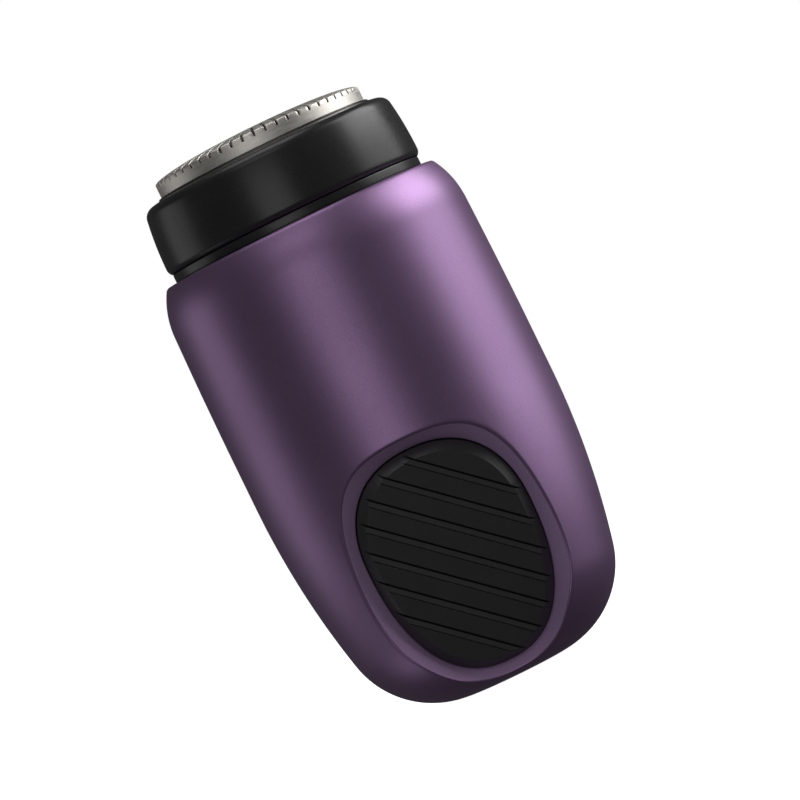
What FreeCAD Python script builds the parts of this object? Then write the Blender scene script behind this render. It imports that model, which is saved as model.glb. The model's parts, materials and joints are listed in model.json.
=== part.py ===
"""Palm-sized cordless hair remover with one round slotted cutting head.

Frame: millimetres, +Z up along the body's axis, the thumb button faces -Y, and the
origin is the centre of the flat base that the body stands on.

From the bottom up: a one-piece egg-ended outer shell with a charging socket in its
base, a Li-ion cell and a tilted circuit board behind the thumb button, a motor on the
axis, a sealed deck that closes the shell's mouth, and a pull-off head that holds the
slotted cap, the spinning cutter and their retainer.
"""

import FreeCAD
import Part
import math
import os

os.makedirs("parts", exist_ok=True)

Vec = FreeCAD.Vector
Z_AXIS = Vec(0, 0, 1)
COS, SIN, RAD = math.cos, math.sin, math.radians

# ---- Outer shell -------------------------------------------------------------------
BODY_R = 22.65          # widest outside radius
WALL = 1.8              # shell wall
SHELL_TOP = 68.8        # height of the shell's flat rim
MOUTH_R = 18.75         # bore of the rim
LEDGE_Z = 63.9          # underside of the rim, where the deck's hooks catch
BELLY_LOW, BELLY_HIGH = 36.0, 42.0   # the straight stretch of the side
LOWER_SIDE_R = 115.0    # arc from the belly down to the corner
CORNER_Z = 10.4         # where the lower side runs into the bottom corner
UPPER_SIDE_R = 768.0    # very flat arc from the belly up to the shoulder
SHOULDER_Z = 62.4       # start of the shoulder
SHOULDER_R = 12.8

# ---- Thumb button and its recess ---------------------------------------------------
TILT = 15.0             # the button faces forward and this much downward, degrees
BUTTON_Z = 21.27        # height of the outline's widest line
BUTTON_DEPTH = 15.4     # distance of that line from the body's axis
EGG_HALF, EGG_TOP, EGG_BOTTOM = 12.15, 13.8, 19.42   # recess floor outline from that line
EGG_POWER = 2.3         # superellipse exponent of the outline
EGG_GAP = 0.2           # clearance round the button
BEZEL_LIFT = 12.0       # height of the bezel's flared cutter, well clear of the belly
BEZEL_SIDE, BEZEL_TOP, BEZEL_BOTTOM = 19.5, 9.0, 9.65   # how far it flares in that height
BEZEL_SWELL, BEZEL_DRAW = 0.22, 0.325   # its upper corners swell by this share, its lower ones draw in
BEZEL_WALL = 3.0        # solid round the recess outline, behind the bezel
POCKET_DEEP = 2.2       # straight pocket under the bezel
FLOOR = 1.4             # pocket floor thickness
PAD_SKIRT = 0.2         # height of the pad's straight side above the recess line
PAD_FACE = 1.2          # height of the pad's face
RIM_BEVEL = 1.2         # bevel between the side and the face
CARRIER_TOP, CARRIER_LOW = -0.2, -1.5
CARRIER_INSET = 1.1     # the carrier's edge inside the recess outline
GROOVES = 7
GROOVE_PITCH = 4.815    # spacing up the button
GROOVE_FIRST = 12.6     # the top groove, from the widest line
GROOVE_ANGLE = 42.5     # grooves run down to the right at this angle
GROOVE_DEEP = 0.55
GROOVE_STEEP, GROOVE_SHALLOW = 0.15, 0.85   # widths of the two flanks
CREASE_LIP, CREASE_W, CREASE_DEEP = 0.05, 0.16, 0.25   # fine line along the wide flank's edge
STEM_R = 3.2
STEM_LOW = -3.9         # underside of the stem, resting on the switch plunger
HOLE_CLEAR = 0.4        # clearance round the stem
LEG_TOP_V, LEG_LOW_V = 9.5, -13.5     # where the button's two hooked legs stand
LEG_W, LEG_T = 3.0, 1.2
BARB, BARB_HIGH = 0.7, 0.9            # how far a leg's hook stands out, and its height
BOOT_R = 6.5

# ---- Deck and neck -----------------------------------------------------------------
DECK_R = 18.65
PLATE_LOW, PLATE_TOP = 66.0, 67.6
NECK_LOW, NECK_TOP = 69.0, 70.22     # the neck's flange, seen between shell and head
NECK_R = 18.82
SPIGOT_R, SPIGOT_TOP = 17.2, 73.6
CHAMBER_R = 15.8        # hair chamber inside the spigot
BOSS_R, BOSS_BORE, BOSS_TOP = 5.4, 3.6, 71.0
SEAL_SEAT_R, SEAL_LOW = 4.7, 69.6
O_RING_R, O_RING_T, O_RING_Z = 16.82, 0.5, 72.0    # between spigot and head
GASKET_R, GASKET_T, GASKET_Z = 18.13, 0.58, 67.0   # between deck and shell
SCREW_CIRCLE = 11.0
SCREW_ANGLES = (90, 210, 330)
HOOK_R, HOOK_T = 19.5, 1.1            # the deck's snap hooks
HOOK_ANGLES = (45, 135, 225, 315)

# ---- Head --------------------------------------------------------------------------
HEAD_LOW = 70.32
HEAD_BORE = 17.35
LIP_LOW, LIP_TOP = 78.65, 80.38
CAP_R, CAP_T = 15.57, 0.25            # cap's outside radius and sheet thickness
CAP_LOW, CAP_RIM = 78.2, 82.35
CAP_FLANGE_R = 16.9
DOME = 1.42             # rise of the cap's top above its rim
TRACK_IN = 9.4          # inner edge of the shaving track
CAP_CENTRE_Z = 81.6
SLOTS = 56
SLOT_W = 0.32
SLOT_LOW = 81.8
SLOT_IN = 10.3
RETAINER_TOP = 77.4
WAVES, WAVE_LIFT, WAVE_T = 4, 0.27, 0.2
BLADES = 12
BLADE_LEAN = 18.0       # the blades lean into their turn, degrees
CUTTER_Z = 79.0         # underside of the cutter's blade ring
CUTTER_CLEAR = 0.25     # between the blades and the cap
PIVOT_SEAT_R = 2.6
PIVOT_R = 1.2

# ---- Drive, on the axis ------------------------------------------------------------
MOTOR_R, MOTOR_LOW, MOTOR_TOP = 12.2, 46.0, 62.0
CAN_T = 0.7
END_BELL_LOW = 44.6
SHAFT_R, SHAFT_LOW, SHAFT_TOP = 1.0, 43.9, 69.2
BUSHING_R = 2.5
TERMINAL_X = 9.3
ARMATURE_R = 9.2
POLE_LOW, POLE_TOP = 50.0, 58.5
COUPLER_LOW, COUPLER_TOP = 64.8, 70.2
HEX_FLATS = 4.4
SPINDLE_R = 3.3
SPINDLE_LOW, SPINDLE_TOP = 66.9, 75.8
TIP_TOP = 79.6

# ---- Frame, cell, boards and leads -------------------------------------------------
CUP_R, CUP_BORE, CUP_LOW = 13.9, 12.35, 43.4
FRAME_TOP = 63.5
CELL_Y, CELL_R = 6.6, 8.25
CELL_LOW, CELL_TOP = 9.7, 42.6
CELL_BUTTON_R, CELL_BUTTON_H = 2.7, 0.8
TROUGH_R, TROUGH_BORE, TROUGH_LOW = 9.6, 8.35, 8.4
TAB_T, TAB_HALF = 0.2, 2.0             # nickel strip's thickness and half width
BOARD_LOW, BOARD_TOP = -9.4, -8.2      # circuit board, on the button's own normal
BOARD_SCREW_U, BOARD_SCREW_V = 8.2, 10.5
SWITCH_W, SWITCH_H = 6.2, 3.4
PLUNGER_R = 1.7
SOCKET_W, SOCKET_T = 8.94, 3.26        # charging socket's outside
SOCKET_LOW, SOCKET_TOP = 0.5, 7.85
LIGHT_Y, LIGHT_R = 4.2, 0.8
LEAD_R = 0.45


# ---- Helpers -----------------------------------------------------------------------
def save(name, shape):
    """Writes one node as parts/NAME.step."""
    shape.exportStep("parts/" + name + ".step")


def at(r, z):
    """A point of a profile in the XZ plane."""
    return Vec(r, 0, z)


def line(p, q):
    return Part.makeLine(p, q)


def arc3(p, q, s):
    """Arc through three profile points."""
    return Part.Arc(p, q, s).toShape()


def arc(cx, cz, r, start, end):
    """Arc of a profile about (cx, cz), between two angles in degrees."""
    angles = (start, (start + end) / 2, end)
    return arc3(*[at(cx + r * COS(RAD(a)), cz + r * SIN(RAD(a))) for a in angles])


def end_of(edge):
    return edge.valueAt(edge.LastParameter)


def spun(edges):
    """Solid of revolution about Z from the edges of a closed profile."""
    face = Part.Face(Part.Wire(edges))
    solid = face.revolve(Vec(0, 0, 0), Z_AXIS, 360)
    return Part.makeSolid(solid) if solid.ShapeType != "Solid" else solid


def spun_points(*points):
    """Solid of revolution from straight-sided (radius, height) points."""
    corners = [at(r, z) for r, z in points]
    return spun([line(p, q) for p, q in zip(corners, corners[1:] + corners[:1])])


def ring(r_out, r_in, low, top):
    """Tube on the Z axis, or a disc where r_in is 0."""
    outer = Part.makeCylinder(r_out, top - low, Vec(0, 0, low))
    if r_in <= 0:
        return outer
    return outer.cut(Part.makeCylinder(r_in, top - low + 2, Vec(0, 0, low - 1)))


def rod(x, y, r, low, top):
    return Part.makeCylinder(r, top - low, Vec(x, y, low))


def box(x0, x1, y0, y1, z0, z1):
    return Part.makeBox(x1 - x0, y1 - y0, z1 - z0, Vec(x0, y0, z0))


def turned(shape, degrees):
    copy = shape.copy()
    copy.rotate(Vec(0, 0, 0), Z_AXIS, degrees)
    return copy


def around(shape, count):
    """The shape repeated evenly about Z."""
    return [turned(shape, 360.0 * k / count) for k in range(count)]


def polar(radius, degrees):
    return radius * COS(RAD(degrees)), radius * SIN(RAD(degrees))


def stadium(width, thick, low, top):
    """Round-ended bar of that width along X and thickness along Y."""
    half = (width - thick) / 2
    bar = box(-half, half, -thick / 2, thick / 2, low, top)
    return bar.fuse([rod(s * half, 0, thick / 2, low, top) for s in (-1, 1)]).removeSplitter()


def group(*shapes):
    """Separate solids that share one node."""
    return Part.makeCompound([s for shape in shapes for s in shape.Solids])


def wire_lead(points, radius):
    """Insulated wire along straight runs joined by tangent arcs."""
    pts = [Vec(*p) for p in points]
    edges, start = [], pts[0]
    for before, corner, after in zip(pts, pts[1:], pts[2:]):
        back, ahead = before - corner, after - corner
        reach = 0.45 * min(back.Length, ahead.Length)
        back.normalize()
        ahead.normalize()
        enter, leave = corner + back * reach, corner + ahead * reach
        half = back.getAngle(ahead) / 2
        bend = reach * math.tan(half)
        inward = (back + ahead).normalize()
        middle = corner + inward * (bend / SIN(half) - bend)
        edges += [line(start, enter), arc3(enter, middle, leave)]
        start = leave
    edges.append(line(start, pts[-1]))
    heading = (pts[1] - pts[0]).normalize()
    section = Part.Wire(Part.makeCircle(radius, pts[0], heading))
    return Part.Wire(edges).makePipeShell([section], True, False)


# ---- The button's own frame: u to the right, v up the button, w out of its face ----
BUTTON_PLACE = FreeCAD.Placement(
    Vec(0, -BUTTON_DEPTH, BUTTON_Z), FreeCAD.Rotation(Vec(1, 0, 0), 90 + TILT)
)


def on_button(shape):
    """Moves a shape built in u, v, w into the body's frame."""
    copy = shape.copy()
    copy.Placement = BUTTON_PLACE.multiply(copy.Placement)
    return copy


def egg(w, half, top, bottom, swell=0.0, draw=0.0):
    """Closed egg outline at height w, a superellipse whose corners may swell or draw in."""
    points = []
    count = 32
    for k in range(count):
        a = 2 * math.pi * k / count
        c, s = COS(a), SIN(a)
        share = 1 + (swell if s > 0 else -draw) * SIN(2 * a) ** 2
        u = share * half * math.copysign(abs(c) ** (2 / EGG_POWER), c)
        v = share * (top if s > 0 else bottom) * math.copysign(abs(s) ** (2 / EGG_POWER), s)
        points.append(Vec(u, v, w))
    curve = Part.BSplineCurve()
    curve.interpolate(Points=points, PeriodicFlag=True)
    return Part.Wire(curve.toShape())


def egg_inset(w, inset):
    """The recess outline moved in by an inset, or out where it is negative."""
    return egg(w, EGG_HALF - inset, EGG_TOP - inset, EGG_BOTTOM - inset)


def egg_block(low, top, inset):
    face = Part.Face(egg_inset(low, inset))
    return face.extrude(Vec(0, 0, top - low))


# ---- Outer shell -------------------------------------------------------------------
def side_profile(inset):
    """Edges of the shell's side from the axis up to the shoulder, moved in by inset."""
    corner_turn = math.degrees(math.asin((BELLY_LOW - CORNER_Z) / LOWER_SIDE_R))
    corner_r = CORNER_Z / (1 - SIN(RAD(corner_turn)))
    corner_x = BODY_R - LOWER_SIDE_R * (1 - COS(RAD(corner_turn))) - corner_r * COS(RAD(corner_turn))
    upper_turn = math.degrees(math.asin((SHOULDER_Z - BELLY_HIGH) / UPPER_SIDE_R))
    belly = BODY_R - inset
    return [
        line(at(0, inset), at(corner_x, inset)),
        arc(corner_x, corner_r, corner_r - inset, -90, -corner_turn),
        arc(BODY_R - LOWER_SIDE_R, BELLY_LOW, LOWER_SIDE_R - inset, -corner_turn, 0),
        line(at(belly, BELLY_LOW), at(belly, BELLY_HIGH)),
        arc(BODY_R - UPPER_SIDE_R, BELLY_HIGH, UPPER_SIDE_R - inset, 0, upper_turn),
    ]


def shell_outside():
    """The full solid whose skin is the shell's outside."""
    edges = side_profile(0)
    turn = math.degrees(math.asin((SHOULDER_Z - BELLY_HIGH) / UPPER_SIDE_R))
    start = end_of(edges[-1])
    cx, cz = start.x - SHOULDER_R * COS(RAD(turn)), start.z - SHOULDER_R * SIN(RAD(turn))
    top_turn = math.degrees(math.asin((SHELL_TOP - cz) / SHOULDER_R))
    edges.append(arc(cx, cz, SHOULDER_R, turn, top_turn))
    rim = end_of(edges[-1])
    edges += [line(rim, at(0, SHELL_TOP)), line(at(0, SHELL_TOP), at(0, 0))]
    return spun(edges)


def shell_inside():
    """The shell's cavity, open at the mouth."""
    edges = side_profile(WALL)
    top = end_of(edges[-1])
    above = SHELL_TOP + 1
    corners = [top, at(top.x, LEDGE_Z), at(MOUTH_R, LEDGE_Z), at(MOUTH_R, above), at(0, above), at(0, WALL)]
    return spun(edges + [line(p, q) for p, q in zip(corners, corners[1:])])


def leg_slot(v):
    clear = 0.2
    return Part.makeBox(
        LEG_W + 2 * clear, LEG_T + 2 * clear, FLOOR + 2,
        Vec(-LEG_W / 2 - clear, v - LEG_T / 2 - clear, -POCKET_DEEP - FLOOR - 1),
    )


def body_shell():
    outside = shell_outside()
    block = on_button(egg_block(-POCKET_DEEP - FLOOR, BEZEL_LIFT, -BEZEL_WALL)).common(outside)
    shell = outside.cut(shell_inside()).fuse(block)
    spread = (EGG_HALF + BEZEL_SIDE, EGG_TOP + BEZEL_TOP, EGG_BOTTOM + BEZEL_BOTTOM)
    flare = Part.makeLoft(
        [egg_inset(0, 0), egg(BEZEL_LIFT, *spread, BEZEL_SWELL, BEZEL_DRAW)], True, True)
    pocket = egg_block(-POCKET_DEEP, 0.01, 0)
    stem_hole = Part.makeCylinder(STEM_R + HOLE_CLEAR, 4, Vec(0, 0, -POCKET_DEEP - FLOOR - 1))
    for tool in (flare, pocket, stem_hole, leg_slot(LEG_TOP_V), leg_slot(LEG_LOW_V)):
        shell = shell.cut(on_button(tool))
    shell = shell.cut(stadium(SOCKET_W + 0.3, SOCKET_T + 0.3, -1, WALL + 1))
    return shell.cut(rod(0, LIGHT_Y, LIGHT_R + 0.05, -1, WALL + 1))


# ---- Thumb button ------------------------------------------------------------------
def groove_cutters():
    """Lopsided V grooves: a steep upper flank and a wide lower one that ends in a fine crease."""
    reach = 25.0
    section = Part.makePolygon(
        [
            Vec(-reach, GROOVE_STEEP, PAD_FACE + 0.01),
            Vec(-reach, 0, PAD_FACE - GROOVE_DEEP),
            Vec(-reach, -GROOVE_SHALLOW, PAD_FACE - CREASE_LIP),
            Vec(-reach, -GROOVE_SHALLOW - CREASE_W / 2, PAD_FACE - CREASE_DEEP),
            Vec(-reach, -GROOVE_SHALLOW - CREASE_W, PAD_FACE + 0.01),
            Vec(-reach, GROOVE_STEEP, PAD_FACE + 0.01),
        ]
    )
    cutters = []
    for k in range(GROOVES):
        bar = Part.Face(section).extrude(Vec(2 * reach, 0, 0))
        bar.rotate(Vec(0, 0, 0), Z_AXIS, -GROOVE_ANGLE)
        bar.translate(Vec(0, GROOVE_FIRST - k * GROOVE_PITCH, 0))
        cutters.append(bar)
    return cutters


def button_pad():
    """Soft-touch skin with a bevelled rim, diagonal grooves and a pocket for its carrier."""
    skirt = egg_block(CARRIER_LOW, PAD_SKIRT, EGG_GAP)
    face = Part.makeLoft(
        [egg_inset(PAD_SKIRT, EGG_GAP), egg_inset(PAD_FACE, EGG_GAP + RIM_BEVEL)], True, True
    )
    pad = skirt.fuse(face).cut(egg_block(CARRIER_LOW - 1, CARRIER_TOP, CARRIER_INSET))
    return on_button(pad.cut(groove_cutters()))


def button_leg(v, outward):
    """Leg through the pocket floor, with a barb that catches behind it."""
    back = -POCKET_DEEP - FLOOR - 0.05
    height = CARRIER_LOW - back + 1.0
    leg = Part.makeBox(LEG_W, LEG_T, height, Vec(-LEG_W / 2, v - LEG_T / 2, back - 1.0))
    start = v + outward * LEG_T / 2
    barb_v = min(start, start + outward * BARB)
    barb = Part.makeBox(LEG_W, BARB, BARB_HIGH, Vec(-LEG_W / 2, barb_v, back - 1.0))
    return leg.fuse(barb)


def button_carrier():
    """Rigid plate that the pad is moulded on, with the stem that works the switch."""
    plate = egg_block(CARRIER_LOW, CARRIER_TOP, CARRIER_INSET)
    stem = Part.makeCylinder(STEM_R, CARRIER_LOW - STEM_LOW, Vec(0, 0, STEM_LOW))
    legs = [button_leg(LEG_TOP_V, 1), button_leg(LEG_LOW_V, -1)]
    return on_button(plate.fuse([stem] + legs).removeSplitter())


def button_boot():
    """Soft ring that seals the stem to the pocket floor."""
    low, top = -POCKET_DEEP, CARRIER_LOW - 0.02
    outer = Part.makeCylinder(BOOT_R, top - low, Vec(0, 0, low))
    return on_button(outer.cut(Part.makeCylinder(STEM_R + 0.05, 4, Vec(0, 0, low - 1))))


# ---- Deck: the black plug with the neck, above the motor ---------------------------
def deck_hooks():
    """Four snap hooks that catch under the shell's rim."""
    hoop = ring(DECK_R, DECK_R - HOOK_T, LEDGE_Z - 2.5, LEDGE_Z + 0.5)
    root, catch = DECK_R - 0.5, LEDGE_Z - 0.05
    barbs = spun_points((root, LEDGE_Z - 2.2), (HOOK_R, LEDGE_Z - 1.0), (HOOK_R, catch), (root, catch))
    bar = box(0, BODY_R, -2.5, 2.5, LEDGE_Z - 4, LEDGE_Z + 2)
    hooks = hoop.fuse(barbs)
    return [hooks.common(turned(bar, a)) for a in HOOK_ANGLES]


def neck_deck():
    """Plug with a plate, a skirt inside the shell's rim, a neck flange and the head's spigot."""
    skirt_low, skirt_in = LEDGE_Z + 0.1, DECK_R - 1.5
    outside = [
        (CHAMBER_R, PLATE_TOP), (CHAMBER_R, SPIGOT_TOP), (SPIGOT_R - 0.4, SPIGOT_TOP),
        (SPIGOT_R, SPIGOT_TOP - 0.4), (SPIGOT_R, NECK_TOP), (NECK_R - 0.22, NECK_TOP),
        (NECK_R - 0.1, NECK_TOP - 0.12), (NECK_R, NECK_LOW), (DECK_R, NECK_LOW), (DECK_R, skirt_low),
        (skirt_in, skirt_low), (skirt_in, PLATE_LOW), (0, PLATE_LOW), (0, PLATE_TOP),
    ]
    deck = spun_points(*outside)
    deck = deck.fuse([ring(BOSS_R, 0, PLATE_LOW - 1.1, BOSS_TOP)] + deck_hooks())
    cuts = [
        rod(0, 0, BOSS_BORE, 60, 75),
        rod(0, 0, SEAL_SEAT_R, SEAL_LOW, 75),
        ring(SPIGOT_R + 1, SPIGOT_R - 0.9, O_RING_Z - 0.55, O_RING_Z + 0.55),
        ring(DECK_R + 1, DECK_R - 1.1, GASKET_Z - 0.6, GASKET_Z + 0.6),
    ]
    cuts += [rod(*polar(SCREW_CIRCLE, a), 1.1, 60, 70) for a in SCREW_ANGLES]
    return deck.cut(cuts)


def o_ring(major, minor, z):
    return Part.makeTorus(major, minor, Vec(0, 0, z), Z_AXIS)


def head_o_ring():
    return o_ring(O_RING_R, O_RING_T, O_RING_Z)


def deck_gasket():
    return o_ring(GASKET_R, GASKET_T, GASKET_Z)


def screw(x, y, seat, head_r, head_h, shank_r, length):
    """Pan-head screw standing on a seat, with a cross recess."""
    top = seat + head_h
    head = rod(x, y, head_r, seat, top)
    rim = [e for e in head.Edges if abs(e.CenterOfMass.z - top) < 1e-6]
    head = head.makeFillet(head_h * 0.45, rim)
    cross = [
        box(x - head_r * 0.6, x + head_r * 0.6, y - 0.2, y + 0.2, top - head_h * 0.5, top + 1),
        box(x - 0.2, x + 0.2, y - head_r * 0.6, y + head_r * 0.6, top - head_h * 0.5, top + 1),
    ]
    return head.fuse(rod(x, y, shank_r, seat - length, seat)).cut(cross)


def deck_screws():
    screws = [screw(*polar(SCREW_CIRCLE, a), PLATE_TOP, 1.9, 1.2, 0.98, 4.4) for a in SCREW_ANGLES]
    return group(*screws)


# ---- Pull-off head -----------------------------------------------------------------
def head_ring():
    """Black collar: a lip over the cap's flange and a skirt over the spigot."""
    bottom_in, bottom_out = at(HEAD_BORE, HEAD_LOW), at(18.9, HEAD_LOW)
    side_low, side_top = at(19.31, HEAD_LOW + 1.0), at(18.72, 78.6)
    crown, lip_base = at(17.45, 79.87), at(16.1, LIP_TOP - 0.26)
    lip_r = CAP_R + 0.23
    lip_out, lip_in, lip_low = at(16.02, LIP_TOP), at(lip_r, LIP_TOP), at(lip_r, LIP_LOW)
    edges = [
        line(bottom_in, bottom_out),
        arc3(bottom_out, at(19.17, HEAD_LOW + 0.36), side_low),
        arc3(side_low, at(19.15, 75.0), side_top),
        arc3(side_top, at(18.38, 79.32), crown),
        line(crown, lip_base),
        line(lip_base, lip_out),
        line(lip_out, lip_in),
        line(lip_in, lip_low),
        line(lip_low, at(HEAD_BORE, LIP_LOW)),
        line(at(HEAD_BORE, LIP_LOW), bottom_in),
    ]
    return spun(edges)


def dome_edge(r_out, r_in, base, rise, full_r):
    """Elliptical arc of a crowned top, from r_out in to r_in, as a spline from the formula."""
    steps = 14
    start, stop = math.asin(min(1.0, r_out / full_r)), math.asin(r_in / full_r)
    angles = [start + (stop - start) * k / steps for k in range(steps + 1)]
    curve = Part.BSplineCurve()
    curve.interpolate([at(full_r * SIN(a), base + rise * COS(a)) for a in angles])
    return curve.toShape()


def blade_cap():
    """Pressed steel guard: flange, wall, crowned slotted track and a sunk centre."""
    inner_r = CAP_R - CAP_T
    outer = dome_edge(CAP_R, TRACK_IN, CAP_RIM, DOME, CAP_R)
    inner = dome_edge(inner_r, TRACK_IN + CAP_T, CAP_RIM - CAP_T, DOME, inner_r)
    flange_top = CAP_LOW + CAP_T
    path = [
        at(CAP_FLANGE_R, CAP_LOW), at(CAP_FLANGE_R, flange_top), at(CAP_R, flange_top), at(CAP_R, CAP_RIM),
    ]
    edges = [line(p, q) for p, q in zip(path, path[1:])] + [outer]
    track_top, track_low = end_of(outer), end_of(inner)
    sunk = [
        track_top, at(TRACK_IN, CAP_CENTRE_Z + CAP_T), at(PIVOT_SEAT_R, CAP_CENTRE_Z + CAP_T),
        at(PIVOT_SEAT_R, CAP_CENTRE_Z), at(TRACK_IN + CAP_T, CAP_CENTRE_Z), track_low,
    ]
    edges += [line(p, q) for p, q in zip(sunk, sunk[1:])]
    edges.append(inner)
    close = [at(inner_r, CAP_RIM - CAP_T), at(inner_r, CAP_LOW), at(CAP_FLANGE_R, CAP_LOW)]
    edges += [line(p, q) for p, q in zip(close, close[1:])]
    cap = spun(Part.sortEdges(edges)[0])
    slot = box(SLOT_IN, CAP_R + 1, -SLOT_W / 2, SLOT_W / 2, SLOT_LOW, CAP_RIM + DOME + 1)
    return cap.cut(around(slot, SLOTS))


def cap_pivot_bush():
    """Plastic bearing in the cap's centre for the cutter's pivot."""
    body = ring(PIVOT_SEAT_R, 0, CAP_CENTRE_Z - 0.35, CAP_CENTRE_Z + CAP_T)
    top = ring(3.5, 0, CAP_CENTRE_Z + CAP_T, CAP_CENTRE_Z + CAP_T + 0.45)
    bore = rod(0, 0, PIVOT_R + 0.05, CAP_CENTRE_Z - 1, CAP_CENTRE_Z + 0.5)
    return body.fuse(top).cut(bore).removeSplitter()


def cutter_blades():
    """Steel ring with upright lifting blades whose tops follow the cap."""
    plate = ring(15.0, 9.6, CUTTER_Z, CUTTER_Z + 0.4)
    clear = CAP_T + CUTTER_CLEAR
    crown = dome_edge(14.9, 9.9, CAP_RIM - clear, DOME, CAP_R - clear)
    start, stop = crown.valueAt(crown.FirstParameter), end_of(crown)
    low = CUTTER_Z + 0.2
    corners = [stop, at(stop.x, low), at(start.x, low), start]
    band = spun([crown] + [line(p, q) for p, q in zip(corners, corners[1:])])
    blade = box(9.0, 16.0, -0.25, 0.25, low, CAP_RIM + DOME)
    blade.rotate(Vec(12.4, 0, CUTTER_Z), Vec(1, 0, 0), BLADE_LEAN)
    return plate.fuse([band.common(b) for b in around(blade, BLADES)]).removeSplitter()


def cutter_hub():
    """Plastic carrier under the blade ring, with the drive socket and the pivot."""
    hub = spun_points(
        (0, 77.6), (3.8, 77.6), (3.8, 78.2), (11.2, 78.2), (11.2, CUTTER_Z), (9.55, CUTTER_Z),
        (9.55, CUTTER_Z + 0.9), (3.8, CUTTER_Z + 0.9), (3.0, 81.0), (PIVOT_R, 81.0), (PIVOT_R, 82.0),
        (0, 82.0),
    )
    socket = box(-2.4, 2.4, -1.2, 1.2, 77, 80.2)
    ports = box(5.0, 8.4, -1.5, 1.5, 77, 81)
    return hub.cut([socket] + around(ports, 6))


def cap_retainer():
    """Plastic ring pressed into the head, with three spokes that keep the cutter in."""
    rim = ring(HEAD_BORE, 15.6, 74.2, RETAINER_TOP)
    centre = ring(6.2, 4.6, 75.2, 76.8)
    spoke = box(5.5, 16.2, -0.9, 0.9, 75.2, 76.4)
    return rim.fuse([centre] + around(spoke, 3)).removeSplitter()


def cap_wave_spring():
    """Thin wavy ring under the cap's flange that lets the cap sink when it is pressed."""
    def wave(radius, z):
        angles = [math.pi * k / 24 for k in range(48)]
        curve = Part.BSplineCurve()
        heights = [z + WAVE_LIFT * COS(WAVES * a) for a in angles]
        points = [Vec(radius * COS(a), radius * SIN(a), height) for a, height in zip(angles, heights)]
        curve.interpolate(Points=points, PeriodicFlag=True)
        return curve.toShape()

    middle = (RETAINER_TOP + CAP_LOW) / 2
    low, high = middle - WAVE_T / 2, middle + WAVE_T / 2
    corners = [(16.0, low), (17.0, low), (17.0, high), (16.0, high)]
    curves = [wave(r, z) for r, z in corners]
    faces = [Part.makeRuledSurface(a, b) for a, b in zip(curves, curves[1:] + curves[:1])]
    skin = Part.makeShell(faces)
    skin.sewShape()
    return Part.makeSolid(skin)


# ---- Drive -------------------------------------------------------------------------
def hexagon(flats, low, top):
    corner = flats / 2 / COS(RAD(30))
    points = [Vec(*polar(corner, 60 * k), low) for k in range(7)]
    return Part.Face(Part.makePolygon(points)).extrude(Vec(0, 0, top - low))


def drive_coupler():
    return hexagon(HEX_FLATS, COUPLER_LOW, COUPLER_TOP).cut(rod(0, 0, SHAFT_R, 60, SHAFT_TOP))


def drive_spindle():
    """Sleeve that slides on the hexagon and turns the cutter with its flat tip."""
    sleeve = rod(0, 0, SPINDLE_R, SPINDLE_LOW, SPINDLE_TOP)
    tip = box(-2.2, 2.2, -1.0, 1.0, SPINDLE_TOP - 0.1, TIP_TOP)
    return sleeve.fuse(tip).cut(hexagon(HEX_FLATS + 0.1, 60, SPINDLE_TOP - 0.8)).removeSplitter()


def coil(radius, wire_r, low, top, turns):
    """Round-wire helical spring on the Z axis."""
    height = top - low - 2 * wire_r
    path = Part.makeHelix(height / turns, height, radius)
    section = Part.Wire(Part.makeCircle(wire_r, Vec(radius, 0, 0), Vec(0, 1, 0)))
    spring = Part.Wire(path).makePipeShell([section], True, True)
    spring.translate(Vec(0, 0, low + wire_r))
    return spring


def spindle_spring():
    return coil(1.75, 0.22, COUPLER_TOP + 0.02, SPINDLE_TOP - 0.82, 6)


def spindle_seal():
    """Lip seal in the deck's boss, round the spindle."""
    seal = spun_points(
        (SPINDLE_R + 0.05, 70.1), (SPINDLE_R + 0.5, SEAL_LOW), (SEAL_SEAT_R, SEAL_LOW),
        (SEAL_SEAT_R, 70.95), (SPINDLE_R + 0.6, 70.95), (SPINDLE_R + 0.05, 70.5),
    )
    return seal


# ---- Motor -------------------------------------------------------------------------
def motor_can():
    inside, roof = MOTOR_R - CAN_T, MOTOR_TOP - CAN_T
    can = spun_points(
        (MOTOR_R, MOTOR_LOW), (MOTOR_R, MOTOR_TOP), (3.0, MOTOR_TOP), (3.0, 63.4), (BUSHING_R, 63.4),
        (BUSHING_R, roof), (inside, roof), (inside, MOTOR_LOW),
    )
    return can.cut([rod(s * 8, 0, 1.0, 60, 64) for s in (-1, 1)])


def motor_end_bell():
    bell = ring(MOTOR_R, 0, END_BELL_LOW, MOTOR_LOW)
    bell = bell.fuse(ring(MOTOR_R - 0.75, MOTOR_R - 2.0, MOTOR_LOW, 47.2))
    vents = [box(-6.0, 6.0, s * 7.5 - 1.2, s * 7.5 + 1.2, 44, 46.5) for s in (-1, 1)]
    slots = [box(s * TERMINAL_X - 0.3, s * TERMINAL_X + 0.3, -2.8, 0.8, 44, 46.5) for s in (-1, 1)]
    return bell.cut([rod(0, 0, BUSHING_R - 0.1, 44, 47)] + vents + slots)


def motor_bushings():
    """Sintered bronze bushings at both ends of the shaft."""
    bore = SHAFT_R + 0.03
    upper = ring(BUSHING_R, bore, 61.4, 63.4)
    return group(upper, ring(BUSHING_R - 0.1, bore, END_BELL_LOW, MOTOR_LOW))


def motor_shaft():
    return rod(0, 0, SHAFT_R, SHAFT_LOW, SHAFT_TOP)


def motor_magnets():
    """Two ferrite arcs inside the can."""
    hoop = ring(MOTOR_R - 0.75, 9.6, 48.0, 60.5)
    gap = box(-3.0, 3.0, -15, 15, 47, 62)
    return hoop.cut(gap)


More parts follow.
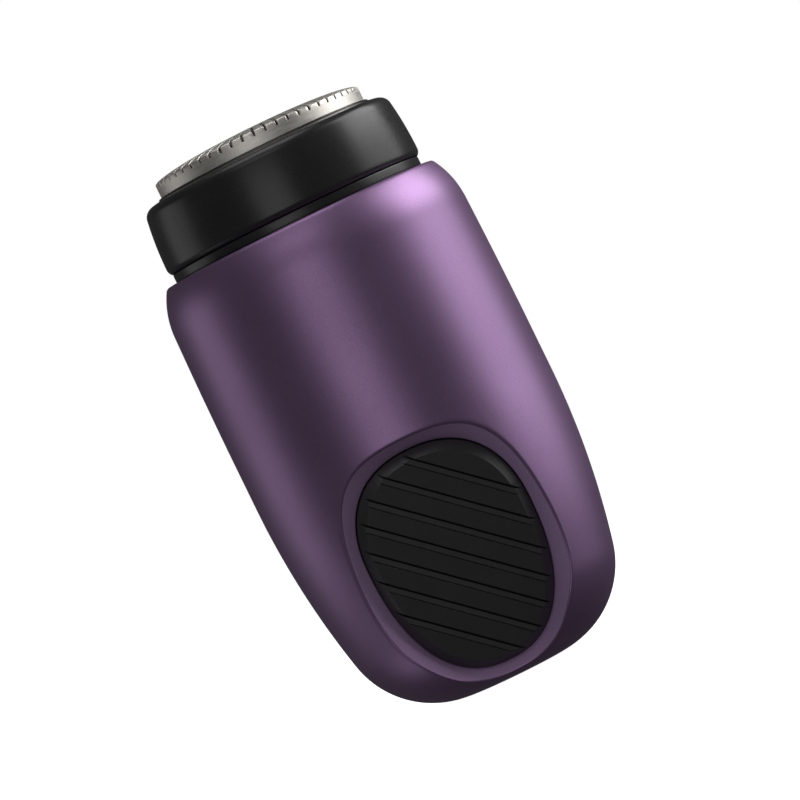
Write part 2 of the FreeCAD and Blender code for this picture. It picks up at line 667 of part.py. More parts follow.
def armature_core():
    """Three-pole lamination stack."""
    hoop = ring(ARMATURE_R, 7.6, POLE_LOW, POLE_TOP)
    gap = turned(box(4, 12, -1.2, 1.2, 49, 60), 60)
    shoes = hoop.cut(around(gap, 3))
    arm = box(2.5, 8.0, -1.5, 1.5, POLE_LOW, POLE_TOP)
    stack = ring(3.4, 0, POLE_LOW, POLE_TOP).fuse(around(arm, 3) + [shoes])
    return stack.cut(rod(0, 0, SHAFT_R, 40, 70)).removeSplitter()


def armature_windings():
    """Copper coil round each pole arm."""
    outer = box(3.9, 7.4, -3.0, 3.0, POLE_LOW - 1.4, POLE_TOP + 1.4)
    radial = [e for e in outer.Edges if abs(e.tangentAt(e.FirstParameter).x) > 0.9]
    outer = outer.makeFillet(0.8, radial)
    turns = outer.cut(box(3, 9, -1.52, 1.52, POLE_LOW - 0.02, POLE_TOP + 0.02))
    return group(*around(turns.common(rod(0, 0, 7.5, 45, 65)), 3))


def commutator():
    """Three copper segments on the shaft."""
    drum = ring(2.4, SHAFT_R, 46.4, 48.4)
    gap = box(1.3, 4, -0.15, 0.15, 46.6, 49)
    return drum.cut(around(gap, 3))


def motor_brushes():
    """Leaf brushes that run on the commutator, with their solder tabs."""
    parts = []
    for s in (-1, 1):
        leaf = box(min(s * 2.45, s * 9.6), max(s * 2.45, s * 9.6), -0.6, 0.6, 47.3, 47.5)
        foot = box(s * TERMINAL_X - 0.2, s * TERMINAL_X + 0.2, -2.6, 0.6, 42.4, 47.5)
        parts.append(leaf.fuse(foot).removeSplitter())
    return group(*parts)


def motor_screws():
    return group(*[screw(s * 8, 0, FRAME_TOP, 1.7, 1.0, 0.98, 2.6) for s in (-1, 1)])


# ---- Inner frame -------------------------------------------------------------------
def inner_frame():
    """Moulded skeleton: motor cup, cell trough and the board's mounts."""
    cup = ring(CUP_R, CUP_BORE, CUP_LOW, MOTOR_TOP)
    plate = ring(CUP_R, 3.4, MOTOR_TOP, FRAME_TOP)
    trough_top = CUP_LOW + 1.5
    crescent = rod(0, CELL_Y, TROUGH_R, CUP_LOW, trough_top).cut(rod(0, 0, CUP_BORE, 40, 50))
    trough = rod(0, CELL_Y, TROUGH_R, TROUGH_LOW, trough_top)
    trough = trough.cut(rod(0, CELL_Y, TROUGH_BORE, CELL_LOW - 0.1, 50))
    trough = trough.cut([box(-12, 12, -8, 2.0, 8, 50), rod(0, 0, CUP_BORE, CUP_LOW - 0.1, 50)])
    posts = [rod(*polar(SCREW_CIRCLE, a), 2.2, FRAME_TOP, PLATE_LOW) for a in SCREW_ANGLES]
    cheek = box(8.0, 9.4, -11, 3.0, 14, 36.5)
    cheeks = [cheek, cheek.mirror(Vec(0, 0, 0), Vec(1, 0, 0))]
    bosses = [
        on_button(Part.makeCylinder(1.8, 5.0, Vec(s * BOARD_SCREW_U, BOARD_SCREW_V, BOARD_LOW - 5.0)))
        for s in (-1, 1)
    ]
    front = on_button(Part.makeBox(40, 60, 20, Vec(-20, -30, BOARD_LOW)))
    mounts = [m.cut(front) for m in cheeks] + bosses
    frame = cup.fuse([plate, crescent, trough] + posts + mounts)
    windows = [box(-16, 16, -4.5, 4.5, 47.5, 59.0)]
    holes = [rod(*polar(SCREW_CIRCLE, a), 1.0, 62.7, 70) for a in SCREW_ANGLES]
    holes += [rod(s * 8, 0, 1.05, 60, 66) for s in (-1, 1)]
    holes += [
        on_button(Part.makeCylinder(0.8, 6, Vec(s * BOARD_SCREW_U, BOARD_SCREW_V, BOARD_LOW - 3.2)))
        for s in (-1, 1)
    ]
    return frame.cut(windows + holes).removeSplitter()


# ---- Cell, boards and sockets ------------------------------------------------------
def battery_cell():
    body = rod(0, CELL_Y, CELL_R, CELL_LOW, CELL_TOP)
    body = body.makeFillet(0.5, [e for e in body.Edges if e.Closed])
    return body.fuse(rod(0, CELL_Y, CELL_BUTTON_R, CELL_TOP, CELL_TOP + CELL_BUTTON_H))


def battery_tabs():
    """Nickel strips welded to both ends of the cell, bent forward for the leads."""
    front = CELL_Y - CELL_R
    top_z, low_z = CELL_TOP + CELL_BUTTON_H, CELL_LOW - TAB_T
    top = box(-TAB_HALF, TAB_HALF, front - 2.1, CELL_Y + 2.0, top_z, top_z + TAB_T)
    foot = box(-TAB_HALF, TAB_HALF, front - 0.5, CELL_Y - 4.8, low_z, CELL_LOW)
    riser = box(-TAB_HALF, TAB_HALF, front - 0.5, front - 0.5 + TAB_T, CELL_LOW, CELL_LOW + 3.6)
    return group(top, foot.fuse(riser).removeSplitter())


def main_board():
    board = Part.makeBox(20, 22, BOARD_TOP - BOARD_LOW, Vec(-10, -9, BOARD_LOW))
    places = [Vec(s * BOARD_SCREW_U, BOARD_SCREW_V, BOARD_LOW - 1) for s in (-1, 1)]
    return on_button(board.cut([Part.makeCylinder(0.9, 4, place) for place in places]))


def board_screws():
    places = [(s * BOARD_SCREW_U, BOARD_SCREW_V) for s in (-1, 1)]
    screws = [screw(*place, BOARD_TOP, 1.4, 0.9, 0.78, 4.0) for place in places]
    return group(*[on_button(s) for s in screws])


def board_components():
    """Charger chip, drive transistor, inductor and capacitors on the board's front."""
    top = BOARD_TOP
    chips = [
        Part.makeBox(4.9, 3.9, 1.4, Vec(-8.6, -6.5, top)),
        Part.makeBox(2.9, 1.6, 1.0, Vec(4.6, 3.6, top)),
        Part.makeBox(4.0, 4.0, 1.9, Vec(4.4, -6.4, top)),
        Part.makeBox(1.6, 0.8, 0.8, Vec(-8.0, 1.0, top)),
        Part.makeBox(1.6, 0.8, 0.8, Vec(-8.0, 3.2, top)),
        Part.makeBox(0.8, 1.6, 0.8, Vec(1.0, -7.6, top)),
    ]
    return group(*[on_button(c) for c in chips])


def switch_body():
    """Sealed push switch on the board, under the stem."""
    body = Part.makeBox(SWITCH_W, SWITCH_W, SWITCH_H, Vec(-SWITCH_W / 2, -SWITCH_W / 2, BOARD_TOP))
    well = Part.makeCylinder(PLUNGER_R + 0.05, SWITCH_H, Vec(0, 0, BOARD_TOP + 1.4))
    return on_button(body.cut(well))


def switch_plunger():
    low = BOARD_TOP + 2.1
    return on_button(Part.makeCylinder(PLUNGER_R, STEM_LOW - low, Vec(0, 0, low)))


def charge_socket():
    """Stamped shell of the charging socket, open downwards, closed at the back."""
    outer = stadium(SOCKET_W, SOCKET_T, SOCKET_LOW, SOCKET_TOP)
    return outer.cut(stadium(SOCKET_W - 0.6, SOCKET_T - 0.6, SOCKET_LOW - 1, SOCKET_TOP - 0.9))


def socket_tongue():
    back = SOCKET_TOP - 0.9
    base = stadium(SOCKET_W - 0.62, SOCKET_T - 0.62, back - 1.0, back)
    return base.fuse(box(-3.3, 3.3, -0.35, 0.35, SOCKET_LOW + 0.6, back)).removeSplitter()


def socket_seal():
    outer = stadium(11.2, 5.2, WALL, WALL + 1.2)
    return outer.cut(stadium(SOCKET_W, SOCKET_T, 0, 6)).cut(rod(0, LIGHT_Y, 1.55, 0, 6))


def socket_board():
    return box(-5.5, 5.5, SOCKET_T / 2, SOCKET_T / 2 + 1.0, WALL + 1.3, 8.2)


def charge_light():
    """Side-view lamp on the socket's board, above the light pipe."""
    return box(-0.8, 0.8, SOCKET_T / 2 + 1.0, LIGHT_Y + 0.7, 3.1, 4.1)


def light_pipe():
    pipe = rod(0, LIGHT_Y, LIGHT_R, 0.0, 3.0)
    return pipe.fuse(rod(0, LIGHT_Y, 1.5, WALL + 0.02, WALL + 0.8)).removeSplitter()


# ---- Leads -------------------------------------------------------------------------
def solder_spot(u, v):
    """A point at the back of the circuit board, where a lead's edge just meets it."""
    spot = BUTTON_PLACE.multVec(Vec(u, v, BOARD_LOW - 0.8 * LEAD_R))
    return (spot.x, spot.y, spot.z)


def motor_leads():
    runs = []
    for s in (-1, 1):
        route = [
            (s * TERMINAL_X, -3.1, 42.9), (s * TERMINAL_X, -6.0, 41.8), (s * 7.4, -8.0, 38.6),
            solder_spot(s * 5.2, 11.6),
        ]
        runs.append(wire_lead(route, LEAD_R))
    return group(*runs)


def battery_leads():
    live = [(1.2, -3.8, 43.5), (1.6, -6.6, 42.2), (2.4, -8.0, 38.8), solder_spot(2.0, 11.8)]
    back = [(-1.0, -2.6, 12.4), (-2.0, -2.8, 14.2), (-3.2, -3.2, 16.0), solder_spot(-4.0, -6.0)]
    return group(wire_lead(live, LEAD_R), wire_lead(back, LEAD_R))


def socket_leads():
    runs = []
    for s in (-1, 1):
        route = [
            (s * 3.2, 1.1, 8.35), (s * 3.6, -2.2, 8.8), (s * 5.6, -3.0, 11.8), (s * 6.0, -2.9, 15.2),
            solder_spot(s * 6.0, -5.4),
        ]
        runs.append(wire_lead(route, LEAD_R))
    return group(*runs)


# ---- Everything --------------------------------------------------------------------
NODES = {
    "body_shell": body_shell,
    "button_pad": button_pad,
    "button_carrier": button_carrier,
    "button_boot": button_boot,
    "neck_deck": neck_deck,
    "deck_gasket": deck_gasket,
    "head_o_ring": head_o_ring,
    "deck_screws": deck_screws,
    "head_ring": head_ring,
    "blade_cap": blade_cap,
    "cap_pivot_bush": cap_pivot_bush,
    "cutter_blades": cutter_blades,
    "cutter_hub": cutter_hub,
    "cap_retainer": cap_retainer,
    "cap_wave_spring": cap_wave_spring,
    "drive_coupler": drive_coupler,
    "drive_spindle": drive_spindle,
    "spindle_spring": spindle_spring,
    "spindle_seal": spindle_seal,
    "motor_can": motor_can,
    "motor_end_bell": motor_end_bell,
    "motor_bushings": motor_bushings,
    "motor_magnets": motor_magnets,
    "motor_shaft": motor_shaft,
    "armature_core": armature_core,
    "armature_windings": armature_windings,
    "commutator": commutator,
    "motor_brushes": motor_brushes,
    "motor_screws": motor_screws,
    "inner_frame": inner_frame,
    "battery_cell": battery_cell,
    "battery_tabs": battery_tabs,
    "main_board": main_board,
    "board_screws": board_screws,
    "board_components": board_components,
    "switch_body": switch_body,
    "switch_plunger": switch_plunger,
    "charge_socket": charge_socket,
    "socket_tongue": socket_tongue,
    "socket_seal": socket_seal,
    "socket_board": socket_board,
    "charge_light": charge_light,
    "light_pipe": light_pipe,
    "motor_leads": motor_leads,
    "battery_leads": battery_leads,
    "socket_leads": socket_leads,
}

for node_name, make in NODES.items():
    node_shape = make()
    state = "valid" if node_shape.isValid() else "not valid"
    print(f"{node_name}: {len(node_shape.Solids)} solid(s), {state}, {node_shape.Volume:.1f} mm3")
    save(node_name, node_shape)
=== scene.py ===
"""Looks of a palm-sized rotary hair remover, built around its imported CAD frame.

Every size is in millimetres until a mesh is made, and +Z is up, as in the CAD model.
The shell, button, collar, deck, slotted cap, pivot bush, springs and stem boot are rebuilt
here with rounded edges; the other pieces stay as CAD nodes with a material of their own.
"""

import bisect
import json
import math

import bmesh
import bpy
import numpy as np
from mathutils import Matrix, Vector


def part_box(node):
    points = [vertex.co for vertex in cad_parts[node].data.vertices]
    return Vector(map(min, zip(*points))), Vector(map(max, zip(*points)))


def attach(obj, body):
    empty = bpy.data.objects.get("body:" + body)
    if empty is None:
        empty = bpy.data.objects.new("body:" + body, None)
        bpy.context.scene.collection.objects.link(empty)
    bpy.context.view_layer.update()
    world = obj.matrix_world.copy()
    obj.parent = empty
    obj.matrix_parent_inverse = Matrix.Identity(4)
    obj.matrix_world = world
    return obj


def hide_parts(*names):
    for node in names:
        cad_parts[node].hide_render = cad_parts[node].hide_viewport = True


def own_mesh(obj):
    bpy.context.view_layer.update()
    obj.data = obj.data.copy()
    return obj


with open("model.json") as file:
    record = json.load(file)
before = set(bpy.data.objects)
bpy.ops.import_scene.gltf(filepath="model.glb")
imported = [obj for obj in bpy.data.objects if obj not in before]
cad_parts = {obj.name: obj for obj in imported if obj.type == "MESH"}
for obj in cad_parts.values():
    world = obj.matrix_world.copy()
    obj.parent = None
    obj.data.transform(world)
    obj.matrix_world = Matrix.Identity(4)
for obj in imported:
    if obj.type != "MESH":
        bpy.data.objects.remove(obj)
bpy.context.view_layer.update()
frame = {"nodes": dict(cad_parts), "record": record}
MM = 0.001
# Vertices round a ring: turned pieces that show, then smaller pieces and holes.
TURNED_RING, BUSH_RING, BOOT_RING, STEM_RING, HOLE_RING = 256, 96, 64, 48, 32
COS, SIN, PI = math.cos, math.sin, math.pi


# ---- Sizes that the CAD model's outline is drawn from --------------------------------------------
SHELL_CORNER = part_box("body_shell")[1] / MM
BODY_R, SHELL_TOP = SHELL_CORNER.x, SHELL_CORNER.z
WALL = 1.8
MOUTH_R, LEDGE_Z = 18.75, 63.9
BELLY_LOW, BELLY_HIGH = 36.0, 42.0
LOWER_SIDE_R, CORNER_Z = 115.0, 10.4
UPPER_SIDE_R, SHOULDER_Z, SHOULDER_R = 768.0, 62.4, 12.8

# The button faces forward and TILT downward. Its outline is an egg, longer below its widest
# place than above, and the bezel slopes from it out to a larger egg, BEZEL_LIFT in front.
TILT = math.radians(15.0)
BUTTON_Z, BUTTON_DEPTH = 21.27, 15.4
EGG_HALF, EGG_TOP, EGG_BOTTOM, EGG_POWER = 12.15, 13.8, 19.42, 2.3
BEZEL_LIFT, BEZEL_SIDE, BEZEL_UP, BEZEL_DOWN = 12.0, 19.5, 9.0, 9.65
BEZEL_SWELL, BEZEL_DRAW = 0.22, 0.325
POCKET_DEEP, POCKET_FLOOR, POCKET_WALL, POCKET_REACH = 2.2, 1.4, 3.0, 8.0
RIM_ROUND, RIM_ROUND_OUT, LEDGE_STEP, BEZEL_ROUND, LIP_ROUND = 0.2, 0.24, 0.2, 0.4, 0.15
STEM_HOLE_R = 3.6
LEG_SLOTS, LEG_SLOT_W, LEG_SLOT_T = (9.5, -13.5), 3.4, 1.6
SOCKET_W, SOCKET_T = 9.24, 3.56
LIGHT_Y, LIGHT_R = 4.2, 0.85


# ---- Mesh helpers --------------------------------------------------------------------------------
def make_object(name, bm, smooth=True):
    """Turns a bmesh in millimetres into an object in metres, with outward faces."""
    bmesh.ops.recalc_face_normals(bm, faces=bm.faces)
    bmesh.ops.scale(bm, vec=(MM, MM, MM), verts=bm.verts)
    mesh = bpy.data.meshes.new(name)
    bm.to_mesh(mesh)
    bm.free()
    if smooth:
        mesh.shade_smooth()
    else:
        mesh.shade_flat()
    obj = bpy.data.objects.new(name, mesh)
    bpy.context.scene.collection.objects.link(obj)
    return obj


def bevelled(obj, width, segments=2, angle=30):
    """Rounds an object's sharp edges, width in millimetres."""
    bevel = obj.modifiers.new("edges", "BEVEL")
    bevel.width, bevel.segments = width * MM, segments
    bevel.limit_method, bevel.angle_limit = "ANGLE", math.radians(angle)
    bevel.use_clamp_overlap = True
    return obj


def weighted(obj):
    """Lets large faces lead the shading, so that rounded edges stay crisp."""
    obj.modifiers.new("weighted", "WEIGHTED_NORMAL").keep_sharp = True
    return obj


def place(obj, body, slot, *nodes):
    """Names the body that a piece rides on, its finish and the CAD nodes it stands for."""
    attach(obj, body)
    if nodes:
        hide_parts(*nodes)
    obj.data.materials.append(MATERIALS[slot])
    return obj


def arc(cx, cz, radius, start, end, steps):
    """Points of an arc about (cx, cz), between two angles in degrees."""
    angles = np.radians(np.linspace(start, end, steps + 1))
    return [(cx + radius * COS(a), cz + radius * SIN(a)) for a in angles]


def whole_turn(count):
    """Evenly spaced angles of one turn."""
    return [2 * PI * k / count for k in range(count)]


def circle(x, y, z, radius, count):
    """Points of a level circle about (x, y, z)."""
    return [(x + radius * COS(a), y + radius * SIN(a), z) for a in whole_turn(count)]


def bend(start, corner, end, t):
    """Point at t, from 0 to 1, of a curve from start to end that bends towards a corner."""
    return start * (1 - t) ** 2 + corner * 2 * t * (1 - t) + end * t**2


def rounded(corners, steps=4):
    """Closed outline from (r, z, fillet) corners, each turned into a small arc."""
    outline = []
    count = len(corners)
    for k, (r, z, fillet) in enumerate(corners):
        here = Vector((r, z))
        if fillet <= 0:
            outline.append((r, z))
            continue
        before = (Vector(corners[k - 1][:2]) - here).normalized()
        after = (Vector(corners[(k + 1) % count][:2]) - here).normalized()
        for step in range(steps + 1):
            t = step / steps
            point = here + before * fillet * (1 - t) ** 2 + after * fillet * t**2
            outline.append((point.x, point.y))
    return outline


def lathe(name, outline, segments):
    """Solid of revolution from a closed outline; points on the axis become poles."""
    bm = bmesh.new()
    rings = []
    for r, z in outline:
        rings.append(add_ring(bm, circle(0, 0, z, r, segments) if r > 0 else [(0, 0, z)]))
    loft(bm, rings, closed=True)
    return make_object(name, bm)


def join_rings(bm, low, high, material=0):
    """Faces between two closed rings, either of which may be a single pole."""
    count = max(len(low), len(high))
    if count == 1:
        return
    for k in range(count):
        after = (k + 1) % count
        corners = [low[k % len(low)], low[after % len(low)], high[after % len(high)], high[k % len(high)]]
        unique = list(dict.fromkeys(corners))
        if len(unique) > 2:
            bm.faces.new(unique).material_index = material


def loft(bm, rings, closed=False, capped=False):
    """Faces from ring to ring. Closed joins the last to the first, capped fills both ends."""
    for low, high in zip(rings, rings[1:] + rings[:1] if closed else rings[1:]):
        join_rings(bm, low, high)
    if capped:
        bm.faces.new(rings[0])
        bm.faces.new(rings[-1])


def fill(bm, *loops):
    """Flat face between closed loops of vertices: the first is the rim, the others are holes."""
    edges = []
    for loop in loops:
        for a, b in zip(loop, loop[1:] + loop[:1]):
            edges.append(bm.edges.get((a, b)) or bm.edges.new((a, b)))
    bmesh.ops.triangle_fill(bm, use_beauty=True, use_dissolve=False, edges=edges)


def add_ring(bm, points):
    """One vertex at each point."""
    return [bm.verts.new(p) for p in points]


# ---- The button's own frame: u right, v up the button, w out of its face -------------------------
def on_button(u, v, w):
    """A point of the button's frame in the object's own."""
    return Vector((
        u,
        -BUTTON_DEPTH - v * SIN(TILT) - w * COS(TILT),
        BUTTON_Z + v * COS(TILT) - w * SIN(TILT),
    ))


def egg(angle, w, half, top, bottom, swell=0.0, draw=0.0):
    """Point of the egg outline at an angle, a superellipse whose corners may swell or draw in."""
    c, s = COS(angle), SIN(angle)
    share = 1 + (swell if s > 0 else -draw) * SIN(2 * angle) ** 2
    u = share * half * math.copysign(abs(c) ** (2 / EGG_POWER), c)
    v = share * (top if s > 0 else bottom) * math.copysign(abs(s) ** (2 / EGG_POWER), s)
    return on_button(u, v, w)


def egg_inset(angle, w, inset):
    """Point of the recess's egg, drawn in by an inset, at a height out of the button's face."""
    return egg(angle, w, EGG_HALF - inset, EGG_TOP - inset, EGG_BOTTOM - inset)


# ---- Body shell ----------------------------------------------------------------------------------
class SideProfile:
    """The shell's side as tangent arcs, measured along its length from the base's flat."""

    def __init__(self, inset, top):
        turn = math.asin((BELLY_LOW - CORNER_Z) / LOWER_SIDE_R)
        corner_r = CORNER_Z / (1 - SIN(turn))
        corner_x = BODY_R - LOWER_SIDE_R * (1 - COS(turn)) - corner_r * COS(turn)
        upper = math.asin((SHOULDER_Z - BELLY_HIGH) / UPPER_SIDE_R)
        upper_x = BODY_R - UPPER_SIDE_R
        shoulder_x = upper_x + (UPPER_SIDE_R - SHOULDER_R) * COS(upper)
        shoulder_z = BELLY_HIGH + (UPPER_SIDE_R - SHOULDER_R) * SIN(upper)
        end = math.asin((top - shoulder_z) / (SHOULDER_R - inset))
        self.arcs = [
            (corner_x, corner_r, corner_r - inset, -PI / 2, -turn),
            (BODY_R - LOWER_SIDE_R, BELLY_LOW, LOWER_SIDE_R - inset, -turn, 0.0),
            (BODY_R - inset, None, BELLY_HIGH - BELLY_LOW, 0.0, 0.0),
            (upper_x, BELLY_HIGH, UPPER_SIDE_R - inset, 0.0, upper),
            (shoulder_x, shoulder_z, SHOULDER_R - inset, upper, end),
        ]
        lengths = [a[2] if a[1] is None else a[2] * (a[4] - a[3]) for a in self.arcs]
        self.starts = [0.0] + [float(x) for x in np.cumsum(lengths)]
        self.length = self.starts[-1]
        self.tops = [self.at(end)[1] for end in self.starts[1:-1]]

    def at(self, s):
        """(radius, height) at a length along the side."""
        k = min(max(bisect.bisect_left(self.starts, s) - 1, 0), len(self.arcs) - 1)
        cx, cz, size, start, _ = self.arcs[k]
        along = s - self.starts[k]
        if cz is None:
            return cx, BELLY_LOW + along
        angle = start + along / size
        return cx + size * COS(angle), cz + size * SIN(angle)

    def length_at(self, z):
        """Length along the side at a height."""
        k = bisect.bisect_left(self.tops, z)
        _, cz, size, start, _ = self.arcs[k]
        if cz is None:
            return self.starts[k] + z - BELLY_LOW
        return self.starts[k] + size * (math.asin(max(-1.0, min(1.0, (z - cz) / size))) - start)

    def radius(self, z):
        return self.at(self.length_at(z))[0]

    def point(self, turn, s):
        """Point of the skin at an angle round the axis and a length along the side."""
        r, z = self.at(s)
        return Vector((r * COS(turn), r * SIN(turn), z))


SEGMENTS = 288
PATCH_HALF = 42         # columns each side of the front that the button's patch takes
FRONT = SEGMENTS // 2   # the column that faces the button
PATCH_ROWS = 12         # rows between the bezel's edge and the patch's rim
PATCH_TOP = 43.0        # height of the patch's upper rim
PATCH_CROWD = 1.4       # over 1 draws the patch's rows closer together near the opening
BEZEL_EDGE_ROWS = 3     # rows of the bezel's rounded edge that keep the shell's gloss
EDGE_SAMPLES = 720      # directions in which the opening's edge is first looked for
HALVINGS = 40           # halvings of a ray that find where it leaves the skin


def column_angle(column):
    """Angle round the axis of a column of the grid. Column 0 is at the back."""
    return PI / 2 + 2 * PI * column / SEGMENTS


class Skin:
    """One surface of revolution with an egg-shaped opening cut cleanly into its mesh."""

    def __init__(self, bm, profile, lengths, patch_top, ray):
        self.bm, self.profile, self.lengths = bm, profile, lengths
        self.rows = sum(1 for s in lengths if s <= patch_top)
        self.ray = ray
        self.make_grid()
        self.find_opening()

    def in_patch(self, column, row):
        """Whether a place in the grid lies inside the button's patch, away from its rim."""
        return abs(column - FRONT) < PATCH_HALF and 0 < row < self.rows - 1

    def make_grid(self):
        self.grid = []
        for row, s in enumerate(self.lengths):
            ring = []
            for column in range(SEGMENTS):
                keep = not self.in_patch(column, row)
                point = self.profile.point(column_angle(column), s)
                ring.append(self.bm.verts.new(point) if keep else None)
            self.grid.append(ring)
        for row, (low, high) in enumerate(zip(self.grid, self.grid[1:])):
            for c in range(SEGMENTS):
                d = (c + 1) % SEGMENTS
                front = FRONT - PATCH_HALF <= c < FRONT + PATCH_HALF
                if not (front and row < self.rows - 1):
                    self.bm.faces.new((low[c], low[d], high[d], high[c]))

    def hit(self, angle):
        """Where the ray at an egg angle leaves the skin, as (turn, length)."""
        start, end = self.ray(angle)
        inside, outside = 0.0, 1.0
        for _ in range(HALVINGS):
            middle = (inside + outside) / 2
            p = start.lerp(end, middle)
            low = self.profile.at(0)[1]
            is_in = p.z > low and math.hypot(p.x, p.y) < self.profile.radius(p.z)
            inside, outside = (middle, outside) if is_in else (inside, middle)
        p = start.lerp(end, inside)
        return math.atan2(p.y, p.x) % (2 * PI), self.profile.length_at(p.z)

    def find_opening(self):
        """Opening's edge at the directions of the patch's rim, and the rim's own vertices."""
        last = self.rows - 1
        left, right = FRONT - PATCH_HALF, FRONT + PATCH_HALF
        rim = [(c, 0) for c in range(left, right)] + [(right, r) for r in range(0, last)]
        rim += [(c, last) for c in range(right, left, -1)] + [(left, r) for r in range(last, 0, -1)]
        front_turn = column_angle(FRONT)
        centre = np.array([BODY_R * front_turn, self.profile.length_at(BUTTON_Z)])
        spread = np.array([BODY_R, 1.0])
        rim_flat = np.array([[column_angle(c), self.lengths[r]] for c, r in rim]) * spread - centre
        angles = np.linspace(0, 2 * PI, EDGE_SAMPLES + 1)[:-1]
        edge = np.array([self.hit(a) for a in angles])
        edge_flat = edge * spread - centre
        edge_way = np.unwrap(np.arctan2(edge_flat[:, 1], edge_flat[:, 0]))
        rim_way = np.arctan2(rim_flat[:, 1], rim_flat[:, 0])
        edge_way = np.append(edge_way, edge_way[0] + 2 * PI)
        rim_way = (rim_way - edge_way[0]) % (2 * PI) + edge_way[0]
        self.angles = np.interp(rim_way, edge_way, np.append(angles, 2 * PI))
        self.edge = np.array([self.hit(a) for a in self.angles])
        self.rim = [self.grid[r][c] for c, r in rim]
        self.rim_flat = rim_flat
        self.spread, self.centre = spread, centre

    def out_from_edge(self, distance):
        """(turn, length) pairs a given distance outside the opening's edge."""
        flat = self.edge * self.spread - self.centre
        way = self.rim_flat - flat
        way /= np.linalg.norm(way, axis=1)[:, None]
        return (flat + way * distance + self.centre) / self.spread

    def fill_patch(self, distance):
        """Rows of faces from near the opening out to the grid. Returns the innermost row."""
        inner = self.out_from_edge(distance)
        outer = (self.rim_flat + self.centre) / self.spread
        rows = []
        for k in range(PATCH_ROWS):
            t = (k / PATCH_ROWS) ** PATCH_CROWD
            rows.append([self.profile.point(*pair) for pair in inner + (outer - inner) * t])
        rings = [add_ring(self.bm, row) for row in rows] + [self.rim]
        loft(self.bm, rings)
        return rings[0]


def bezel_ray(angle):
    """The bezel's straight line at an egg angle, from the recess out through the skin."""
    spread = (EGG_HALF + BEZEL_SIDE, EGG_TOP + BEZEL_UP, EGG_BOTTOM + BEZEL_DOWN)
    return egg_inset(angle, 0, 0), egg(angle, BEZEL_LIFT, *spread, BEZEL_SWELL, BEZEL_DRAW)


def pocket_ray(angle):
    """The pocket wall's inner side, straight out along the button's normal."""
    return [egg_inset(angle, w, -POCKET_WALL) for w in (-POCKET_REACH, POCKET_REACH)]


def bezel_rows(skin):
    """Rows of points from the rounded outer edge down the bezel into the pocket."""
    outer = [skin.profile.point(*pair) for pair in skin.out_from_edge(BEZEL_ROUND)]
    edge = [skin.profile.point(*pair) for pair in skin.edge]
    lip = [egg_inset(a, 0, 0) for a in skin.angles]
    down = [(low - high).normalized() for low, high in zip(lip, edge)]
    start = [e + d * BEZEL_ROUND for e, d in zip(edge, down)]
    finish = [p - d * LIP_ROUND for p, d in zip(lip, down)]
    wall = [egg_inset(a, -LIP_ROUND, 0) for a in skin.angles]
    rows = [[bend(*corners, t) for corners in zip(outer, edge, start)] for t in (0.2, 0.4, 0.6, 0.8, 1.0)]
    rows += [[a.lerp(b, t) for a, b in zip(start, finish)] for t in (0.12, 0.35, 0.6, 0.85, 1.0)]
    rows += [[bend(*corners, t) for corners in zip(finish, lip, wall)] for t in (0.33, 0.67, 1.0)]
    rows.append([egg_inset(a, -POCKET_DEEP, 0) for a in skin.angles])
    return rows


def stadium(width, thick, z, steps=12):
    """Outline with two straight sides and two half-round ends."""
    half, r = (width - thick) / 2, thick / 2
    points = []
    for side in (1, -1):
        for k in range(steps + 1):
            a = PI * (k / steps - side / 2)
            points.append((side * half + r * COS(a), r * SIN(a), z))
    return points


def bridge_holes(bm, holes):
    """Walls of the holes that run between a shell's two skins. Returns their two rims."""
    rims = []
    for low, high in holes:
        low_ring, high_ring = add_ring(bm, low), add_ring(bm, high)
        join_rings(bm, low_ring, high_ring)
        rims.append((low_ring, high_ring))
    return rims


def side_lengths(profile):
    """Lengths of the grid's rings: close together on the tight curves."""
    rings_per_arc = (26, 26, 6, 12, 14)
    lengths = [0.0]
    for start, end, count in zip(profile.starts, profile.starts[1:], rings_per_arc):
        lengths += list(np.linspace(start, end, count + 1)[1:])
    return lengths


def open_mouth(bm, inner, outer):
    """Ledge, bore and rounded rim, from the inner skin's top to the outer skin's."""
    outline = [
        (inner.profile.at(inner.profile.length)[0], LEDGE_Z), (MOUTH_R, LEDGE_Z),
        (MOUTH_R, SHELL_TOP - RIM_ROUND), (MOUTH_R + RIM_ROUND, SHELL_TOP),
        (outer.profile.at(outer.profile.length)[0] - RIM_ROUND_OUT, SHELL_TOP),
    ]
    angles = [column_angle(c) for c in range(SEGMENTS)]
    rings = [add_ring(bm, [(r * COS(a), r * SIN(a), z) for a in angles]) for r, z in outline]
    loft(bm, [inner.grid[-1], *rings, outer.grid[-1]])


def open_base(bm, inner, outer):
    """The base's two faces, with the charging socket's opening and the lamp's."""
    base = bridge_holes(bm, [
        (stadium(SOCKET_W, SOCKET_T, 0), stadium(SOCKET_W, SOCKET_T, WALL)),
        (circle(0, LIGHT_Y, 0, LIGHT_R, HOLE_RING), circle(0, LIGHT_Y, WALL, LIGHT_R, HOLE_RING)),
    ])
    fill(bm, outer.grid[0], *[low for low, _ in base])
    fill(bm, inner.grid[0], *[high for _, high in base])


